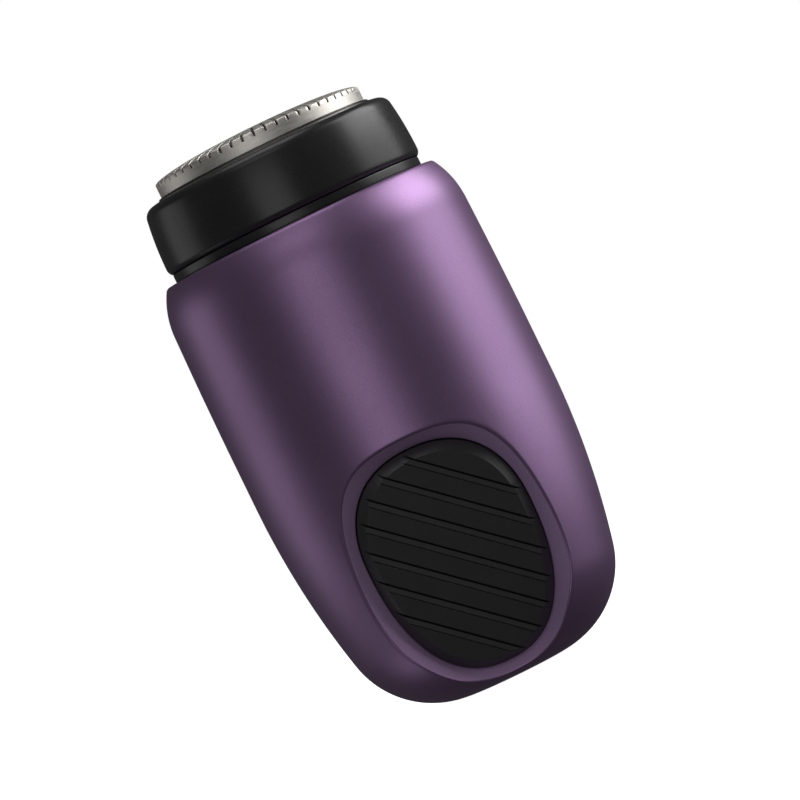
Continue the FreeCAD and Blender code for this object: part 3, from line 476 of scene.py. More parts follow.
def open_pocket(bm, floor_rim, underside_rim):
    """The pocket's floor, with the hole for the button's stem and the slots for its legs."""
    outlines = [[p[:2] for p in circle(0, 0, 0, STEM_HOLE_R, STEM_RING)]]
    for v in LEG_SLOTS:
        u, half = LEG_SLOT_W / 2, LEG_SLOT_T / 2
        outlines.append([(u, v - half), (u, v + half), (-u, v + half), (-u, v - half)])
    sides = (-POCKET_DEEP, -POCKET_DEEP - POCKET_FLOOR)
    holes = bridge_holes(bm, [[[on_button(u, v, w) for u, v in line] for w in sides] for line in outlines])
    fill(bm, floor_rim, *[high for high, _ in holes])
    fill(bm, underside_rim, *[low for _, low in holes])


def make_skin(bm, inset, top, ray):
    """The shell's side, set in from its outside, up to a height, with an opening for a ray."""
    profile = SideProfile(inset, top)
    return Skin(bm, profile, side_lengths(profile), profile.length_at(PATCH_TOP), ray)


def shell_skin():
    """The lacquered shell: outer skin, rounded bezel, pocket, inner skin and all its openings."""
    bm = bmesh.new()
    outer = make_skin(bm, 0.0, SHELL_TOP - RIM_ROUND, bezel_ray)
    rings = [outer.fill_patch(BEZEL_ROUND)]
    rings += [add_ring(bm, row) for row in bezel_rows(outer)]
    for k, (low, high) in enumerate(zip(rings, rings[1:])):
        join_rings(bm, low, high, material=1 if k > BEZEL_EDGE_ROWS else 0)

    inner = make_skin(bm, WALL, LEDGE_Z - LEDGE_STEP, pocket_ray)
    tub_top = inner.fill_patch(0.0)
    tub_low = add_ring(bm, [egg_inset(a, -POCKET_DEEP - POCKET_FLOOR, -POCKET_WALL) for a in inner.angles])
    join_rings(bm, tub_top, tub_low)

    open_mouth(bm, inner, outer)
    open_base(bm, inner, outer)
    open_pocket(bm, rings[-1], tub_low)
    return make_object("lacquered_shell", bm)


# ---- Thumb button --------------------------------------------------------------------------------
PAD_GAP, PAD_SKIRT, PAD_FACE, RIM_BEVEL = 0.2, 0.2, 1.2, 1.2
CARRIER_TOP, CARRIER_LOW, CARRIER_INSET = -0.2, -1.5, 1.1
GROOVES, GROOVE_PITCH, GROOVE_FIRST, GROOVE_ANGLE = 7, 4.815, 12.6, math.radians(42.5)
GROOVE_STEEP, GROOVE_SHALLOW = 0.15, 0.85
SLIT_W, SLIT_DEEP, SLIT_FLOOR, FLANK_DEEP = 0.32, 0.9, 0.1, 0.22
CREASE_LIP, CREASE_W, CREASE_DEEP = 0.05, 0.14, 0.20
PAD_EDGE, PAD_MERGE, PAD_FLAT = 0.09, 0.01, math.radians(0.5)


def egg_stack(rows, count=144):
    """Closed solid through egg outlines given as (w, inset) pairs."""
    bm = bmesh.new()
    rings = [add_ring(bm, [egg_inset(a, w, inset) for a in whole_turn(count)]) for w, inset in rows]
    loft(bm, rings, capped=True)
    return bm


def groove_cutters():
    """One object of lopsided bars: a deep slit above, a wide flank and a fine crease below."""
    bm = bmesh.new()
    reach, above, flare = 25.0, 0.5, 0.1
    high, far, slit_side = PAD_FACE + above, GROOVE_SHALLOW + CREASE_W, GROOVE_STEEP - SLIT_W
    section = [
        (GROOVE_STEEP + flare, high), (GROOVE_STEEP, PAD_FACE),
        (slit_side + 2 * SLIT_FLOOR, PAD_FACE - SLIT_DEEP), (slit_side + SLIT_FLOOR, PAD_FACE - SLIT_DEEP),
        (slit_side, PAD_FACE - FLANK_DEEP), (-GROOVE_SHALLOW, PAD_FACE - CREASE_LIP),
        (CREASE_W / 2 - far, PAD_FACE - CREASE_DEEP), (-far, PAD_FACE), (-far - flare, high),
    ]
    c, s = COS(-GROOVE_ANGLE), SIN(-GROOVE_ANGLE)
    for k in range(GROOVES):
        middle = GROOVE_FIRST - k * GROOVE_PITCH
        ends = []
        for x in (-reach, reach):
            points = [on_button(x * c - y * s, x * s + y * c + middle, w) for y, w in section]
            ends.append(add_ring(bm, points))
        loft(bm, ends, capped=True)
    return make_object("groove_bars", bm, smooth=False)


def combine(obj, tool, operation="DIFFERENCE"):
    """Cuts a tool object out of an object, or unites the two, and throws the tool away."""
    boolean = obj.modifiers.new("combine", "BOOLEAN")
    boolean.operation, boolean.solver, boolean.object = operation, "EXACT", tool
    graph = bpy.context.evaluated_depsgraph_get()
    mesh = bpy.data.meshes.new_from_object(obj.evaluated_get(graph))
    obj.modifiers.clear()
    obj.data = mesh
    bpy.data.objects.remove(tool)
    return obj


def button_skin():
    """Soft-touch pad: bevelled rim, diagonal grooves, and a pocket for its carrier."""
    rows = [(CARRIER_LOW, PAD_GAP), (PAD_SKIRT, PAD_GAP), (PAD_FACE, PAD_GAP + RIM_BEVEL)]
    pad = make_object("ribbed_button", egg_stack(rows))
    pocket = egg_stack([(CARRIER_LOW - 1, CARRIER_INSET), (CARRIER_TOP, CARRIER_INSET)])
    combine(pad, make_object("carrier_pocket", pocket))
    combine(pad, groove_cutters())
    bm = bmesh.new()
    bm.from_mesh(pad.data)
    bmesh.ops.remove_doubles(bm, verts=bm.verts, dist=PAD_MERGE * MM)
    bmesh.ops.dissolve_limit(bm, angle_limit=PAD_FLAT, verts=bm.verts, edges=bm.edges)
    bm.to_mesh(pad.data)
    bm.free()
    pad.data.shade_smooth()
    return weighted(bevelled(pad, PAD_EDGE, segments=3, angle=20))


# ---- Head ----------------------------------------------------------------------------------------
HEAD_LOW, HEAD_BORE, LIP_LOW, LIP_TOP = 70.32, 17.35, 78.65, 80.38
CAP_R, CAP_T, CAP_LOW, CAP_RIM, CAP_DOME = 15.57, 0.25, 78.2, 82.35, 1.42
CAP_FLANGE_R, CAP_WALL_ROW, TRACK_IN, CAP_CENTRE_Z = 16.9, 80.3, 9.4, 81.6
CAP_FOLD, CAP_EDGE = 0.2, 0.035
BUSH_R, BUSH_HEAD_R, BUSH_HEAD, BUSH_TAIL = 2.6, 3.5, 0.45, 0.35
DISH_R, DISH_RIM_R, DISH_DEEP, PIVOT_BORE, BORE_ROOF = 1.9, 2.3, 0.12, 1.25, 0.5
RETAINER_TOP, WAVES, WAVE_LIFT, WAVE_STEPS = 77.4, 4, 0.27, 144
WAVE_IN, WAVE_OUT, WAVE_HALF, WAVE_EDGE = 16.0, 17.0, 0.1, 0.04
SLOTS, SLOT_W, SLOT_LOW, SLOT_IN = 56, 0.32, 81.8, 10.3
LIP_GAP = 0.23          # between the guard's wall and the collar's lip
LAND_COLUMNS = 5        # columns across the steel between two slots


def arc3(p, q, s, steps):
    """Points of the arc through three outline points, without its first point."""
    (ax, ay), (bx, by), (cx, cy) = p, q, s
    d = 2 * (ax * (by - cy) + bx * (cy - ay) + cx * (ay - by))
    a2, b2, c2 = ax * ax + ay * ay, bx * bx + by * by, cx * cx + cy * cy
    x = (a2 * (by - cy) + b2 * (cy - ay) + c2 * (ay - by)) / d
    y = (a2 * (cx - bx) + b2 * (ax - cx) + c2 * (bx - ax)) / d
    start, end = math.atan2(ay - y, ax - x), math.atan2(cy - y, cx - x)
    end += 2 * PI * round((start - end) / (2 * PI))
    return arc(x, y, math.hypot(ax - x, ay - y), math.degrees(start), math.degrees(end), steps)[1:]


def collar():
    """Black head ring: rounded lower edge, slightly tapered side, full shoulder and thin lip."""
    bore_edge, lip_edge, lip_r = 0.15, 0.04, CAP_R + LIP_GAP
    toe, toe_middle = (18.9, HEAD_LOW), (19.17, HEAD_LOW + 0.36)
    side_low, side_middle, side_top = (19.31, HEAD_LOW + 1.0), (19.15, 75.0), (18.72, 78.6)
    shoulder, crown, lip_base = (18.38, 79.32), (17.45, 79.87), (16.18, LIP_TOP - 0.28)
    lip_foot, lip_side = (16.09, LIP_TOP - 0.22), (16.05, LIP_TOP - 0.1)
    lip_middle, lip_crest = (16.02, LIP_TOP - 0.03), (15.95, LIP_TOP)
    outline = [(HEAD_BORE, HEAD_LOW + bore_edge), (HEAD_BORE + bore_edge, HEAD_LOW), toe]
    outline += arc3(toe, toe_middle, side_low, 10)
    outline += arc3(side_low, side_middle, side_top, 14)
    outline += arc3(side_top, shoulder, crown, 14)
    outline += [lip_base, lip_foot, lip_side]
    outline += arc3(lip_side, lip_middle, lip_crest, 3)
    outline += [(lip_r + lip_edge, LIP_TOP), (lip_r, LIP_TOP - lip_edge)]
    outline += [(lip_r, LIP_LOW), (HEAD_BORE, LIP_LOW)]
    return weighted(lathe("collar", outline, TURNED_RING))


def cap_rows():
    """(outer, inner) points of the cap's sheet from the flange to the bush, and a slotted flag."""
    inner_r, inner_rim = CAP_R - CAP_T, CAP_RIM - CAP_T
    fold, inner_fold, corner, nick = CAP_FOLD, 0.25, 0.12, 0.03
    flange_in, track_side = CAP_R - 0.02, TRACK_IN + CAP_T - 0.05
    rows = [
        ((CAP_FLANGE_R, CAP_LOW + CAP_T), (CAP_FLANGE_R, CAP_LOW), False),
        ((CAP_R + fold, CAP_LOW + CAP_T), (flange_in, CAP_LOW), False),
        ((CAP_R, CAP_LOW + CAP_T + fold), (inner_r, CAP_LOW + inner_fold), False),
        ((CAP_R, CAP_WALL_ROW), (inner_r, CAP_WALL_ROW), False),
        ((CAP_R, SLOT_LOW), (inner_r, SLOT_LOW), True),
    ]
    slot_end = math.asin(SLOT_IN / CAP_R)
    turns = list(np.linspace(PI / 2, PI / 3, 7)) + list(np.linspace(PI / 3, slot_end, 7)[1:])
    track = list(np.linspace(slot_end, math.asin((TRACK_IN + corner) / CAP_R), 3)[1:])
    for turn in turns + track:
        outer = (CAP_R * SIN(turn), CAP_RIM + CAP_DOME * COS(turn))
        inner = (inner_r * SIN(turn), inner_rim + CAP_DOME * COS(turn))
        rows.append((outer, inner, turn > slot_end + 1e-6))
    top = rows[-1][0][1]
    rows += [
        ((TRACK_IN + nick, top - nick), (TRACK_IN + CAP_T, top - CAP_T - 2 * nick), False),
        ((TRACK_IN, top - corner), (track_side, top - CAP_T - corner - nick), False),
        ((TRACK_IN, CAP_CENTRE_Z + CAP_T + fold), (track_side, CAP_CENTRE_Z + fold), False),
        ((TRACK_IN - fold, CAP_CENTRE_Z + CAP_T), (TRACK_IN, CAP_CENTRE_Z), False),
        ((BUSH_R, CAP_CENTRE_Z + CAP_T), (BUSH_R, CAP_CENTRE_Z), False),
    ]
    return rows


def slotted_cap():
    """Steel guard whose mesh lines follow the slots, so that each slot is a true opening."""
    bm = bmesh.new()
    rows = cap_rows()

    def ring(point):
        r, z = point
        half = math.asin(SLOT_W / 2 / max(r, TRACK_IN - CAP_FOLD))
        step = 2 * PI / SLOTS
        turns = []
        for k in range(SLOTS):
            turns.append(k * step - half)
            turns += list(np.linspace(k * step + half, (k + 1) * step - half, LAND_COLUMNS + 1)[:-1])
        return add_ring(bm, [(r * COS(a), r * SIN(a), z) for a in turns])

    outer = [ring(o) for o, _, _ in rows]
    inner = [ring(i) for _, i, _ in rows]
    per_slot = LAND_COLUMNS + 1
    count = SLOTS * per_slot
    for k, (_, _, slotted) in enumerate(rows[:-1]):
        for c in range(count):
            d = (c + 1) % count
            if slotted and c % per_slot == 0:
                for e in (c, d):
                    bm.faces.new((outer[k][e], outer[k + 1][e], inner[k + 1][e], inner[k][e]))
                continue
            bm.faces.new((outer[k][c], outer[k][d], outer[k + 1][d], outer[k + 1][c]))
            bm.faces.new((inner[k][c], inner[k][d], inner[k + 1][d], inner[k + 1][c]))
        if slotted and not (rows[k - 1][2] and rows[k + 1][2]):
            end = k + 1 if rows[k - 1][2] else k
            for c in range(0, count, per_slot):
                bm.faces.new((outer[end][c], outer[end][c + 1], inner[end][c + 1], inner[end][c]))
    join_rings(bm, outer[0], inner[0])
    join_rings(bm, outer[-1], inner[-1])
    return weighted(bevelled(make_object("slotted_cap", bm), CAP_EDGE, segments=1, angle=40))


def pivot_bush():
    """White bearing in the cap's sunk centre, with a dished top."""
    seat, low, roof = CAP_CENTRE_Z + CAP_T, CAP_CENTRE_Z - BUSH_TAIL, CAP_CENTRE_Z + BORE_ROOF
    top = seat + BUSH_HEAD
    dish = top - DISH_DEEP
    return weighted(lathe("pivot_bush", rounded([
        (0, dish, 0), (DISH_R, dish, 0.3), (DISH_RIM_R, top, 0.25), (BUSH_HEAD_R, top, 0.2),
        (BUSH_HEAD_R, seat, 0), (BUSH_R, seat, 0), (BUSH_R, low, 0.1), (PIVOT_BORE, low, 0.1),
        (PIVOT_BORE, roof, 0), (0, roof, 0),
    ]), BUSH_RING))


def wave_ring():
    """Wavy steel ring between the retainer and the cap's flange."""
    bm = bmesh.new()
    middle = (RETAINER_TOP + CAP_LOW) / 2
    section = [(WAVE_IN, -WAVE_HALF), (WAVE_OUT, -WAVE_HALF), (WAVE_OUT, WAVE_HALF), (WAVE_IN, WAVE_HALF)]
    lifts = [WAVE_LIFT * COS(WAVES * a) for a in whole_turn(WAVE_STEPS)]
    rings = []
    for r, z in section:
        points = circle(0, 0, middle + z, r, WAVE_STEPS)
        rings.append(add_ring(bm, [(x, y, h + lift) for (x, y, h), lift in zip(points, lifts)]))
    loft(bm, rings, closed=True)
    return bevelled(make_object("wave_ring", bm), WAVE_EDGE)


# ---- Deck, between the shell and the head --------------------------------------------------------
DECK_R, PLATE_LOW, PLATE_TOP, SKIRT_T, BOSS_DROP = 18.65, 66.0, 67.6, 1.5, 1.1
NECK_LOW, NECK_TOP, NECK_R = 69.0, 70.22, 18.82
SPIGOT_R, SPIGOT_TOP, CHAMBER_R = 17.2, 73.6, 15.8
BOSS_R, BOSS_BORE, BOSS_TOP, SEAL_SEAT_R, SEAL_LOW = 5.4, 3.6, 71.0, 4.7, 69.6
O_RING_Z, O_RING_DEEP, GASKET_Z, GASKET_DEEP, GROOVE_HALF = 72.0, 0.9, 67.0, 1.1, 0.57
SCREW_CIRCLE, SCREW_HOLE_R, SCREW_ANGLES = 11.0, 1.1, (90, 210, 330)
HOOK_OUT, HOOK_T, HOOK_HALF, HOOK_ANGLES = 19.5, 1.1, 2.5, (45, 135, 225, 315)
# Heights of a hook's tip, ramp, nose, catch and root, from the shell's ledge.
HOOK_HEIGHTS = (-2.5, -2.2, -1.0, -0.05, 0.5)


def arc_bar(bm, section, middle, half, steps=8):
    """Bar of a constant (r, z) section round part of the axis, between two radial ends."""
    angles = np.radians(np.linspace(middle - half, middle + half, steps + 1))
    rings = [add_ring(bm, [(r * COS(a), r * SIN(a), z) for r, z in section]) for a in angles]
    loft(bm, rings, capped=True)


def deck_outline():
    """Half section of the deck from the boss, round the skirt, neck and spigot, into the chamber."""
    boss_low, skirt_low, skirt_in = PLATE_LOW - BOSS_DROP, LEDGE_Z + 0.1, DECK_R - SKIRT_T
    gasket_in, o_ring_in = DECK_R - GASKET_DEEP, SPIGOT_R - O_RING_DEEP
    gasket_low, gasket_top = GASKET_Z - GROOVE_HALF, GASKET_Z + GROOVE_HALF
    o_ring_low, o_ring_top = O_RING_Z - GROOVE_HALF, O_RING_Z + GROOVE_HALF
    return rounded([
        (BOSS_BORE, boss_low, 0.2), (BOSS_R, boss_low, 0.3), (BOSS_R, PLATE_LOW, 0.3),
        (skirt_in, PLATE_LOW, 0.4), (skirt_in, skirt_low, 0.15), (DECK_R, skirt_low, 0.2),
        (DECK_R, gasket_low, 0.08), (gasket_in, gasket_low, 0.1),
        (gasket_in, gasket_top, 0.1), (DECK_R, gasket_top, 0.08),
        (DECK_R, NECK_LOW, 0.05), (NECK_R, NECK_LOW, 0.08), (NECK_R, NECK_TOP, 0.18),
        (SPIGOT_R, NECK_TOP, 0.2), (SPIGOT_R, o_ring_low, 0.08), (o_ring_in, o_ring_low, 0.1),
        (o_ring_in, o_ring_top, 0.1), (SPIGOT_R, o_ring_top, 0.08),
        (SPIGOT_R, SPIGOT_TOP, 0.45), (CHAMBER_R, SPIGOT_TOP, 0.25),
        (CHAMBER_R, PLATE_TOP, 0.8), (BOSS_R, PLATE_TOP, 0.6), (BOSS_R, BOSS_TOP, 0.25),
        (SEAL_SEAT_R, BOSS_TOP, 0.1), (SEAL_SEAT_R, SEAL_LOW, 0.1), (BOSS_BORE, SEAL_LOW, 0.1),
    ])


def snap_hooks():
    """Hooks that catch under the shell's ledge, in one object."""
    bm = bmesh.new()
    root = DECK_R - HOOK_T
    tip, ramp, nose, catch, top = (LEDGE_Z + height for height in HOOK_HEIGHTS)
    section = [
        (root, tip), (DECK_R, tip), (DECK_R, ramp), (HOOK_OUT, nose),
        (HOOK_OUT, catch), (DECK_R, catch), (DECK_R - 0.05, top), (root, top),
    ]
    for middle in HOOK_ANGLES:
        arc_bar(bm, section, middle, math.degrees(HOOK_HALF / DECK_R))
    return make_object("hooks", bm)


def screw_holes():
    """Round bars that cut the deck's screw holes, in one object."""
    bm = bmesh.new()
    for angle in SCREW_ANGLES:
        x, y = SCREW_CIRCLE * COS(math.radians(angle)), SCREW_CIRCLE * SIN(math.radians(angle))
        heights = (PLATE_LOW - 1, PLATE_TOP + 1)
        loft(bm, [add_ring(bm, circle(x, y, z, SCREW_HOLE_R, HOLE_RING)) for z in heights], capped=True)
    return make_object("screw_holes", bm)


def plug_deck():
    """Black plug that closes the shell: plate, skirt, neck flange, spigot, boss and snap hooks."""
    deck = lathe("plug_deck", deck_outline(), TURNED_RING)
    combine(deck, snap_hooks(), "UNION")
    return weighted(combine(deck, screw_holes()))


# ---- Soft and springy parts, each riding on a body -----------------------------------------------
STEM_R, BOOT_R, BOOT_TOP, BOOT_GRIP, BOOT_FLANGE = 3.2, 6.5, -1.52, 0.05, 0.2
BOOT_FOOT_R, BOOT_FOLD_R, BOOT_NECK_R = 5.2, 5.0, 4.5
SPRING_R, SPRING_WIRE, SPRING_TURNS = 1.75, 0.22, 6
SPRING_LOW, SPRING_TOP, SPRING_STEPS, WIRE_SIDES = 70.22, 74.98, 32, 10


def stem_boot():
    """Soft seal with one fold, between the button's stem and the pocket's floor."""
    bm = bmesh.new()
    low, middle, high = -POCKET_DEEP, (BOOT_TOP - POCKET_DEEP) / 2, BOOT_TOP
    bore, flange, slope = STEM_R + BOOT_GRIP, low + BOOT_FLANGE, 0.04
    outline = rounded([
        (bore, low, 0.1), (BOOT_R, low, 0.1), (BOOT_R, flange, 0.1), (BOOT_FOOT_R, flange + slope, 0.1),
        (BOOT_FOLD_R, middle, 0.15), (BOOT_NECK_R, high, 0.1), (bore, high, 0.1),
    ], steps=2)
    rings = []
    for r, w in outline:
        rings.append(add_ring(bm, [on_button(u, v, w) for u, v, _ in circle(0, 0, 0, r, BOOT_RING)]))
    loft(bm, rings, closed=True)
    return make_object("stem_boot", bm)


def coil_spring():
    """Round-wire spring between the hexagon's end and the spindle's roof."""
    bm = bmesh.new()
    steps, low = SPRING_STEPS * SPRING_TURNS, SPRING_LOW + SPRING_WIRE
    rise = (SPRING_TOP - SPRING_LOW - 2 * SPRING_WIRE) / steps
    rings = []
    for k in range(steps + 1):
        a = 2 * PI * k / SPRING_STEPS
        points = []
        for b in whole_turn(WIRE_SIDES):
            r, z = SPRING_R + SPRING_WIRE * COS(b), low + rise * k + SPRING_WIRE * SIN(b)
            points.append((r * COS(a), r * SIN(a), z))
        rings.append(add_ring(bm, points))
    loft(bm, rings, capped=True)
    return make_object("coil_spring", bm)


# ---- Materials -----------------------------------------------------------------------------------
MIX_A, MIX_B, MIXED_COLOR = 6, 7, 2      # the colour sockets of a Mix node, by index
NOISE_LOW, NOISE_HIGH = 0.3, 0.7         # a noise stays between these almost everywhere


class Graph:
    """A material's node tree with short ways to add and join nodes."""

    def __init__(self, name, color, roughness, metallic=0.0, **sockets):
        self.material = bpy.data.materials.new(name)
        self.material.use_nodes = True
        self.tree = self.material.node_tree
        self.shader = self.tree.nodes["Principled BSDF"]
        self.color = (*color[:3], 1.0)
        self.shader.inputs["Base Color"].default_value = self.color
        self.shader.inputs["Roughness"].default_value = roughness
        self.shader.inputs["Metallic"].default_value = metallic
        for socket, value in sockets.items():
            self.shader.inputs[socket.replace("_", " ")].default_value = value
        self.place = self.add("ShaderNodeTexCoord").outputs["Object"]
        self.roughness = roughness

    def add(self, kind, **settings):
        node = self.tree.nodes.new(kind)
        for key, value in settings.items():
            setattr(node, key, value)
        return node

    def join(self, output, node, socket):
        self.tree.links.new(output, node.inputs[socket])

    def noise(self, per_mm, detail=3.0, place=None):
        """Noise whose features are about 1 / per_mm millimetres wide."""
        node = self.add("ShaderNodeTexNoise")
        node.inputs["Scale"].default_value = per_mm / MM
        node.inputs["Detail"].default_value = detail
        self.join(place or self.place, node, "Vector")
        return node.outputs["Fac"]

    def spread(self, value, low, high):
        """A noise's value, mapped to run from a low to a high number."""
        node = self.add("ShaderNodeMapRange")
        numbers = {"From Min": NOISE_LOW, "From Max": NOISE_HIGH, "To Min": low, "To Max": high}
        for socket, number in numbers.items():
            node.inputs[socket].default_value = number
        self.join(value, node, "Value")
        return node.outputs["Result"]

    def vary_color(self, value, amount):
        """Lets the base colour run lighter and darker with a noise."""
        node = self.add("ShaderNodeMix", data_type="RGBA")
        for index, gain in ((MIX_A, 1 - amount), (MIX_B, 1 + amount)):
            node.inputs[index].default_value = (*(min(1, x * gain) for x in self.color[:3]), 1)
        self.join(self.spread(value, 0, 1), node, "Factor")
        self.join(node.outputs[MIXED_COLOR], self.shader, "Base Color")

    def vary_roughness(self, value, amount):
        low, high = max(0.02, self.roughness - amount), min(1, self.roughness + amount)
        self.join(self.spread(value, low, high), self.shader, "Roughness")

    def bump(self, value, height_mm, strength=1.0):
        node = self.add("ShaderNodeBump")
        node.inputs["Strength"].default_value = strength
        node.inputs["Distance"].default_value = height_mm * MM
        self.join(value, node, "Height")
        self.join(node.outputs["Normal"], self.shader, "Normal")

    def polar(self, radial, around, upward):
        """Coordinates (radius, angle, height), each scaled, for turned and brushed surfaces."""
        split = self.add("ShaderNodeSeparateXYZ")
        self.join(self.place, split, "Vector")
        x, y, z = (split.outputs[k] for k in range(3))
        square = self.math("ADD", self.math("MULTIPLY", x, x), self.math("MULTIPLY", y, y))
        length = self.math("SQRT", square)
        angle = self.math("ARCTAN2", y, x)
        out = self.add("ShaderNodeCombineXYZ")
        for k, (value, scale) in enumerate(((length, radial), (angle, around), (z, upward))):
            self.tree.links.new(self.math("MULTIPLY", value, scale), out.inputs[k])
        return out.outputs["Vector"]

    def math(self, operation, *values):
        node = self.add("ShaderNodeMath", operation=operation)
        for k, value in enumerate(values):
            if isinstance(value, (int, float)):
                node.inputs[k].default_value = value
            else:
                self.tree.links.new(value, node.inputs[k])
        return node.outputs[0]


def lacquer(name, color, roughness, metallic, **sockets):
    """Satin metallic lacquer: fine flake in colour and slope, and a faint uneven gloss."""
    g = Graph(name, color, roughness, metallic=metallic, **sockets)
    g.vary_color(g.noise(6.0, detail=2.0), 0.10)
    g.vary_roughness(g.noise(0.08), 0.02)
    g.bump(g.noise(9.0, detail=1.0), 0.0012)
    return g.material


def moulded(name, color, roughness, grain_mm=0.12, depth_mm=0.002, **sockets):
    """Moulded plastic or rubber: spark-eroded grain, slight mottling."""
    g = Graph(name, color, roughness, **sockets)
    grain = g.noise(1 / grain_mm, detail=2.0)
    g.vary_color(g.noise(0.25), 0.12)
    g.vary_roughness(grain, 0.06)
    g.bump(grain, depth_mm)
    return g.material


def turned_metal(name, color, roughness, streak=0.1, depth_mm=0.0015):
    """Metal with fine marks that run round the axis."""
    g = Graph(name, color, roughness, metallic=1.0)
    marks = g.noise(1.0 * MM, detail=4.0, place=g.polar(9.0 / MM, 6.0, 9.0 / MM))
    g.vary_color(marks, streak)
    g.vary_roughness(marks, 0.08)
    g.bump(marks, depth_mm)
    return g.material


def cast_metal(name, color, roughness, metallic=0.8):
    """Sintered, laminated or plated metal with a fine even grain."""
    g = Graph(name, color, roughness, metallic=metallic)
    grain = g.noise(4.0)
    g.vary_color(grain, 0.15)
    g.vary_roughness(grain, 0.08)
    g.bump(grain, 0.003)
    return g.material


MATERIALS = {
    "lilac_lacquer": lacquer("lilac_lacquer", (0.338, 0.206, 0.39), 0.42, 0.85),
    # The bezel's finish is the shell's lilac lacquer, made matte, with its colour painted lighter as
    # painted light that the lamps do not bring to the recessed ring.
    "bezel_lacquer_painted_light": lacquer("bezel_lacquer_painted_light", (0.57, 0.385, 0.645), 0.75, 0.5, IOR=1.3),
    "satin_black": moulded("satin_black", (0.024, 0.024, 0.025), 0.3),
    "soft_black": moulded("soft_black", (0.026, 0.026, 0.027), 0.4, grain_mm=0.2, depth_mm=0.004, IOR=1.8),
    "black_plastic": moulded("black_plastic", (0.025, 0.025, 0.027), 0.5),
    "seal_rubber": moulded("seal_rubber", (0.018, 0.018, 0.018), 0.6),
    "bearing_plastic": moulded("bearing_plastic", (0.68, 0.68, 0.65), 0.35),
    "frame_plastic": moulded("frame_plastic", (0.22, 0.23, 0.25), 0.5),
    "cell_sleeve": moulded("cell_sleeve", (0.03, 0.13, 0.33), 0.22, grain_mm=1.5),
    "board_laminate": moulded("board_laminate", (0.01, 0.14, 0.06), 0.3, grain_mm=0.4),
    "chip_black": moulded("chip_black", (0.02, 0.02, 0.02), 0.45),
    "lamp_white": moulded("lamp_white", (0.85, 0.85, 0.8), 0.3),
    "clear_plastic": moulded("clear_plastic", (0.9, 0.92, 0.92), 0.15, Transmission_Weight=0.8),
    "lead_red": moulded("lead_red", (0.4, 0.02, 0.02), 0.4),
    "lead_black": moulded("lead_black", (0.02, 0.02, 0.02), 0.4),
    "brushed_steel": turned_metal("brushed_steel", (0.80, 0.77, 0.72), 0.48),
    "spring_steel": turned_metal("spring_steel", (0.5, 0.5, 0.5), 0.3),
    "plated_steel": cast_metal("plated_steel", (0.66, 0.66, 0.66), 0.3, 1.0),
    "core_steel": cast_metal("core_steel", (0.2, 0.2, 0.21), 0.45),
    "ferrite": cast_metal("ferrite", (0.06, 0.06, 0.065), 0.6, 0.2),
    "copper": cast_metal("copper", (0.72, 0.35, 0.18), 0.3, 1.0),
    "bronze": cast_metal("bronze", (0.6, 0.42, 0.22), 0.45, 1.0),
    "zinc_screw": cast_metal("zinc_screw", (0.62, 0.62, 0.64), 0.3, 1.0),
}


# ---- Assembly ------------------------------------------------------------------------------------
def dress_cad_nodes():
    """Gives every CAD node the material of its slot."""
    for part in frame["record"]["subparts"]:
        node = frame["nodes"][part["node"]]
        node.data.materials.clear()
        node.data.materials.append(MATERIALS[part["material_slot"]])


def soften_edges(name, width, weld=0.0005):
    """Small rounded edges on a CAD node, after welding the vertices that its faces share."""
    node = frame["nodes"][name]
    node.modifiers.new("weld", "WELD").merge_threshold = weld * MM
    return weighted(bevelled(node, width))


dress_cad_nodes()
for cad_name, edge_width in (("drive_spindle", 0.12), ("cutter_hub", 0.08), ("cap_retainer", 0.08)):
    soften_edges(cad_name, edge_width)
shell = place(weighted(shell_skin()), "housing", "lilac_lacquer", "body_shell")
# Second finish, for the bezel's rows: the same lilac lacquer with painted light, a lighter colour that
# stands in for light on the recessed ring.
shell.data.materials.append(MATERIALS["bezel_lacquer_painted_light"])
place(button_skin(), "button", "soft_black", "button_pad")
place(collar(), "head", "satin_black", "head_ring")
place(slotted_cap(), "cap", "brushed_steel", "blade_cap")
place(pivot_bush(), "cap", "bearing_plastic", "cap_pivot_bush")
place(plug_deck(), "housing", "satin_black", "neck_deck")

wave = place(wave_ring(), "head", "spring_steel", "cap_wave_spring")
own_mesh(wave)
spring = place(coil_spring(), "rotor", "spring_steel", "spindle_spring")
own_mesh(spring)
boot = place(stem_boot(), "housing", "soft_black", "button_boot")
out_of_face = (0, -COS(TILT), -SIN(TILT))
on_button(0, 0, -POCKET_DEEP) * MM
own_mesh(boot)


# ---- Floor, light and camera ---------------------------------------------------------------------
WHITE = (1.0, 1.0, 1.0, 1.0)
FLOOR_HALF, FLOOR_DROP = 2000.0, 0.02
FILL_LEVEL = 0.049
# Name, azimuth, elevation, width, height and power of each soft light.
SOFTBOXES = (
    ("high_right_box", 100, 30, 0.40, 0.25, 1.2),
    ("right_box", 97, 5, 0.46, 0.30, 0.55),
    ("left_box", -105, 5, 0.30, 0.30, 0.165),
    ("low_left_box", -90, -35, 0.25, 0.20, 0.08),
    ("front_box", -9, 5, 0.26, 0.30, 0.24),
    ("high_front_box", -8, 45, 0.30, 0.20, 0.17),
    ("top_box", 0, 89, 0.30, 0.30, 0.45),
)


def pale_floor():
    """Plain white floor at the base's height, lit evenly so that it runs into the backdrop."""
    bm = bmesh.new()
    bmesh.ops.create_grid(bm, x_segments=8, y_segments=8, size=FLOOR_HALF)
    floor = make_object("floor", bm, smooth=False)
    floor.location.z = -FLOOR_DROP * MM
    material = bpy.data.materials.new("white_floor")
    material.use_nodes = True
    shader = material.node_tree.nodes["Principled BSDF"]
    shader.inputs["Base Color"].default_value = WHITE
    shader.inputs["Emission Color"].default_value = WHITE
    shader.inputs["Emission Strength"].default_value = 1.0
    floor.data.materials.append(material)
    floor.visible_glossy = floor.visible_diffuse = floor.visible_shadow = False


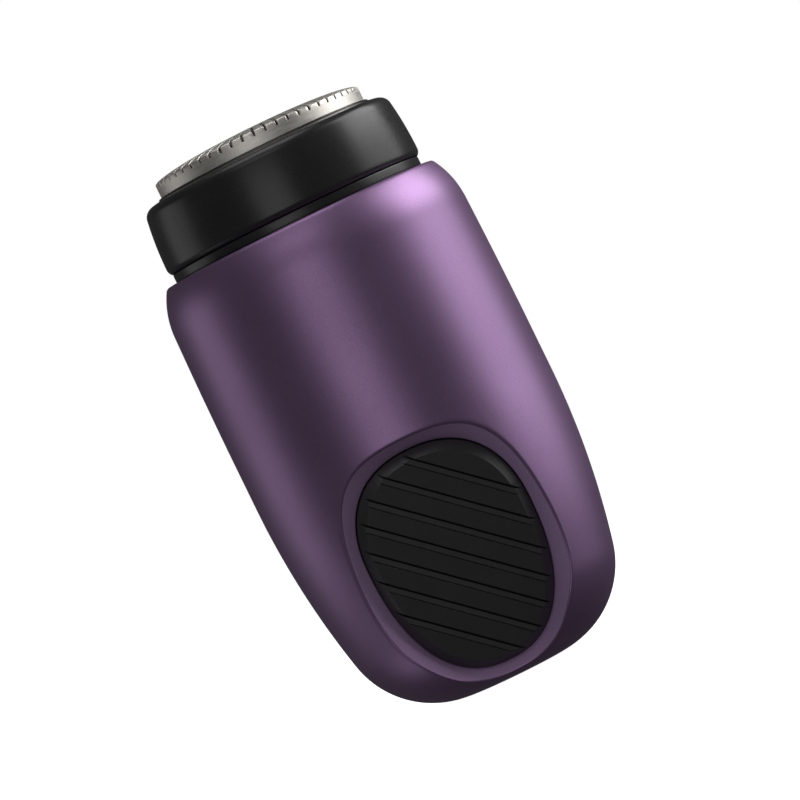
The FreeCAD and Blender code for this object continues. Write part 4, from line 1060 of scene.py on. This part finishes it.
def backdrop(fill_level):
    """White for the camera, a dim even fill for the object."""
    world = bpy.data.worlds.new("studio")
    bpy.context.scene.world = world
    world.use_nodes = True
    tree = world.node_tree
    tree.nodes.clear()
    seen, fill_light = tree.nodes.new("ShaderNodeBackground"), tree.nodes.new("ShaderNodeBackground")
    seen.inputs["Color"].default_value = WHITE
    fill_light.inputs["Color"].default_value = WHITE
    fill_light.inputs["Strength"].default_value = fill_level
    path, mix = tree.nodes.new("ShaderNodeLightPath"), tree.nodes.new("ShaderNodeMixShader")
    out = tree.nodes.new("ShaderNodeOutputWorld")
    tree.links.new(path.outputs["Is Camera Ray"], mix.inputs[0])
    tree.links.new(fill_light.outputs[0], mix.inputs[1])
    tree.links.new(seen.outputs[0], mix.inputs[2])
    tree.links.new(mix.outputs[0], out.inputs[0])


def softbox(name, azimuth, elevation, width, height, power, distance=0.5):
    """Area light aimed at the object's middle. Azimuth 0 is in front of the button, 90 right of it."""
    data = bpy.data.lights.new(name, "AREA")
    data.shape, data.size, data.size_y = "RECTANGLE", width, height
    data.energy = power
    light = bpy.data.objects.new(name, data)
    bpy.context.scene.collection.objects.link(light)
    a, e = math.radians(azimuth), math.radians(elevation)
    middle = Vector((0, 0, SHELL_TOP / 2 * MM))
    way = Vector((SIN(a) * COS(e), -COS(a) * COS(e), SIN(e)))
    light.location = middle + way * distance
    light.rotation_euler = way.to_track_quat("Z", "Y").to_euler()
    light.visible_camera = False
    return light


CAMERA_DISTANCE, CAMERA_HEIGHT, CAMERA_SIDE = 0.803, 0.04097, 0.00187
CAMERA_TURN, CAMERA_ROLL, CAMERA_LENS = math.radians(0.6), math.radians(26.0), 261.0


def photo_camera():
    """Level camera in front of the button, rolled so that the head leans to the upper left."""
    data = bpy.data.cameras.new("camera")
    data.lens, data.sensor_width = CAMERA_LENS, 36.0
    camera = bpy.data.objects.new("camera", data)
    bpy.context.scene.collection.objects.link(camera)
    c, s = COS(CAMERA_ROLL), SIN(CAMERA_ROLL)
    axes = Matrix(((c, s, 0), (0, 0, -1), (-s, c, 0))).to_4x4()
    spot = Matrix.Translation((CAMERA_SIDE, -CAMERA_DISTANCE, CAMERA_HEIGHT))
    camera.matrix_world = Matrix.Rotation(CAMERA_TURN, 4, "Z") @ spot @ axes
    bpy.context.scene.camera = camera


pale_floor()
backdrop(FILL_LEVEL)
for box in SOFTBOXES:
    softbox(*box)
bpy.context.scene.view_settings.view_transform = "Standard"
photo_camera()
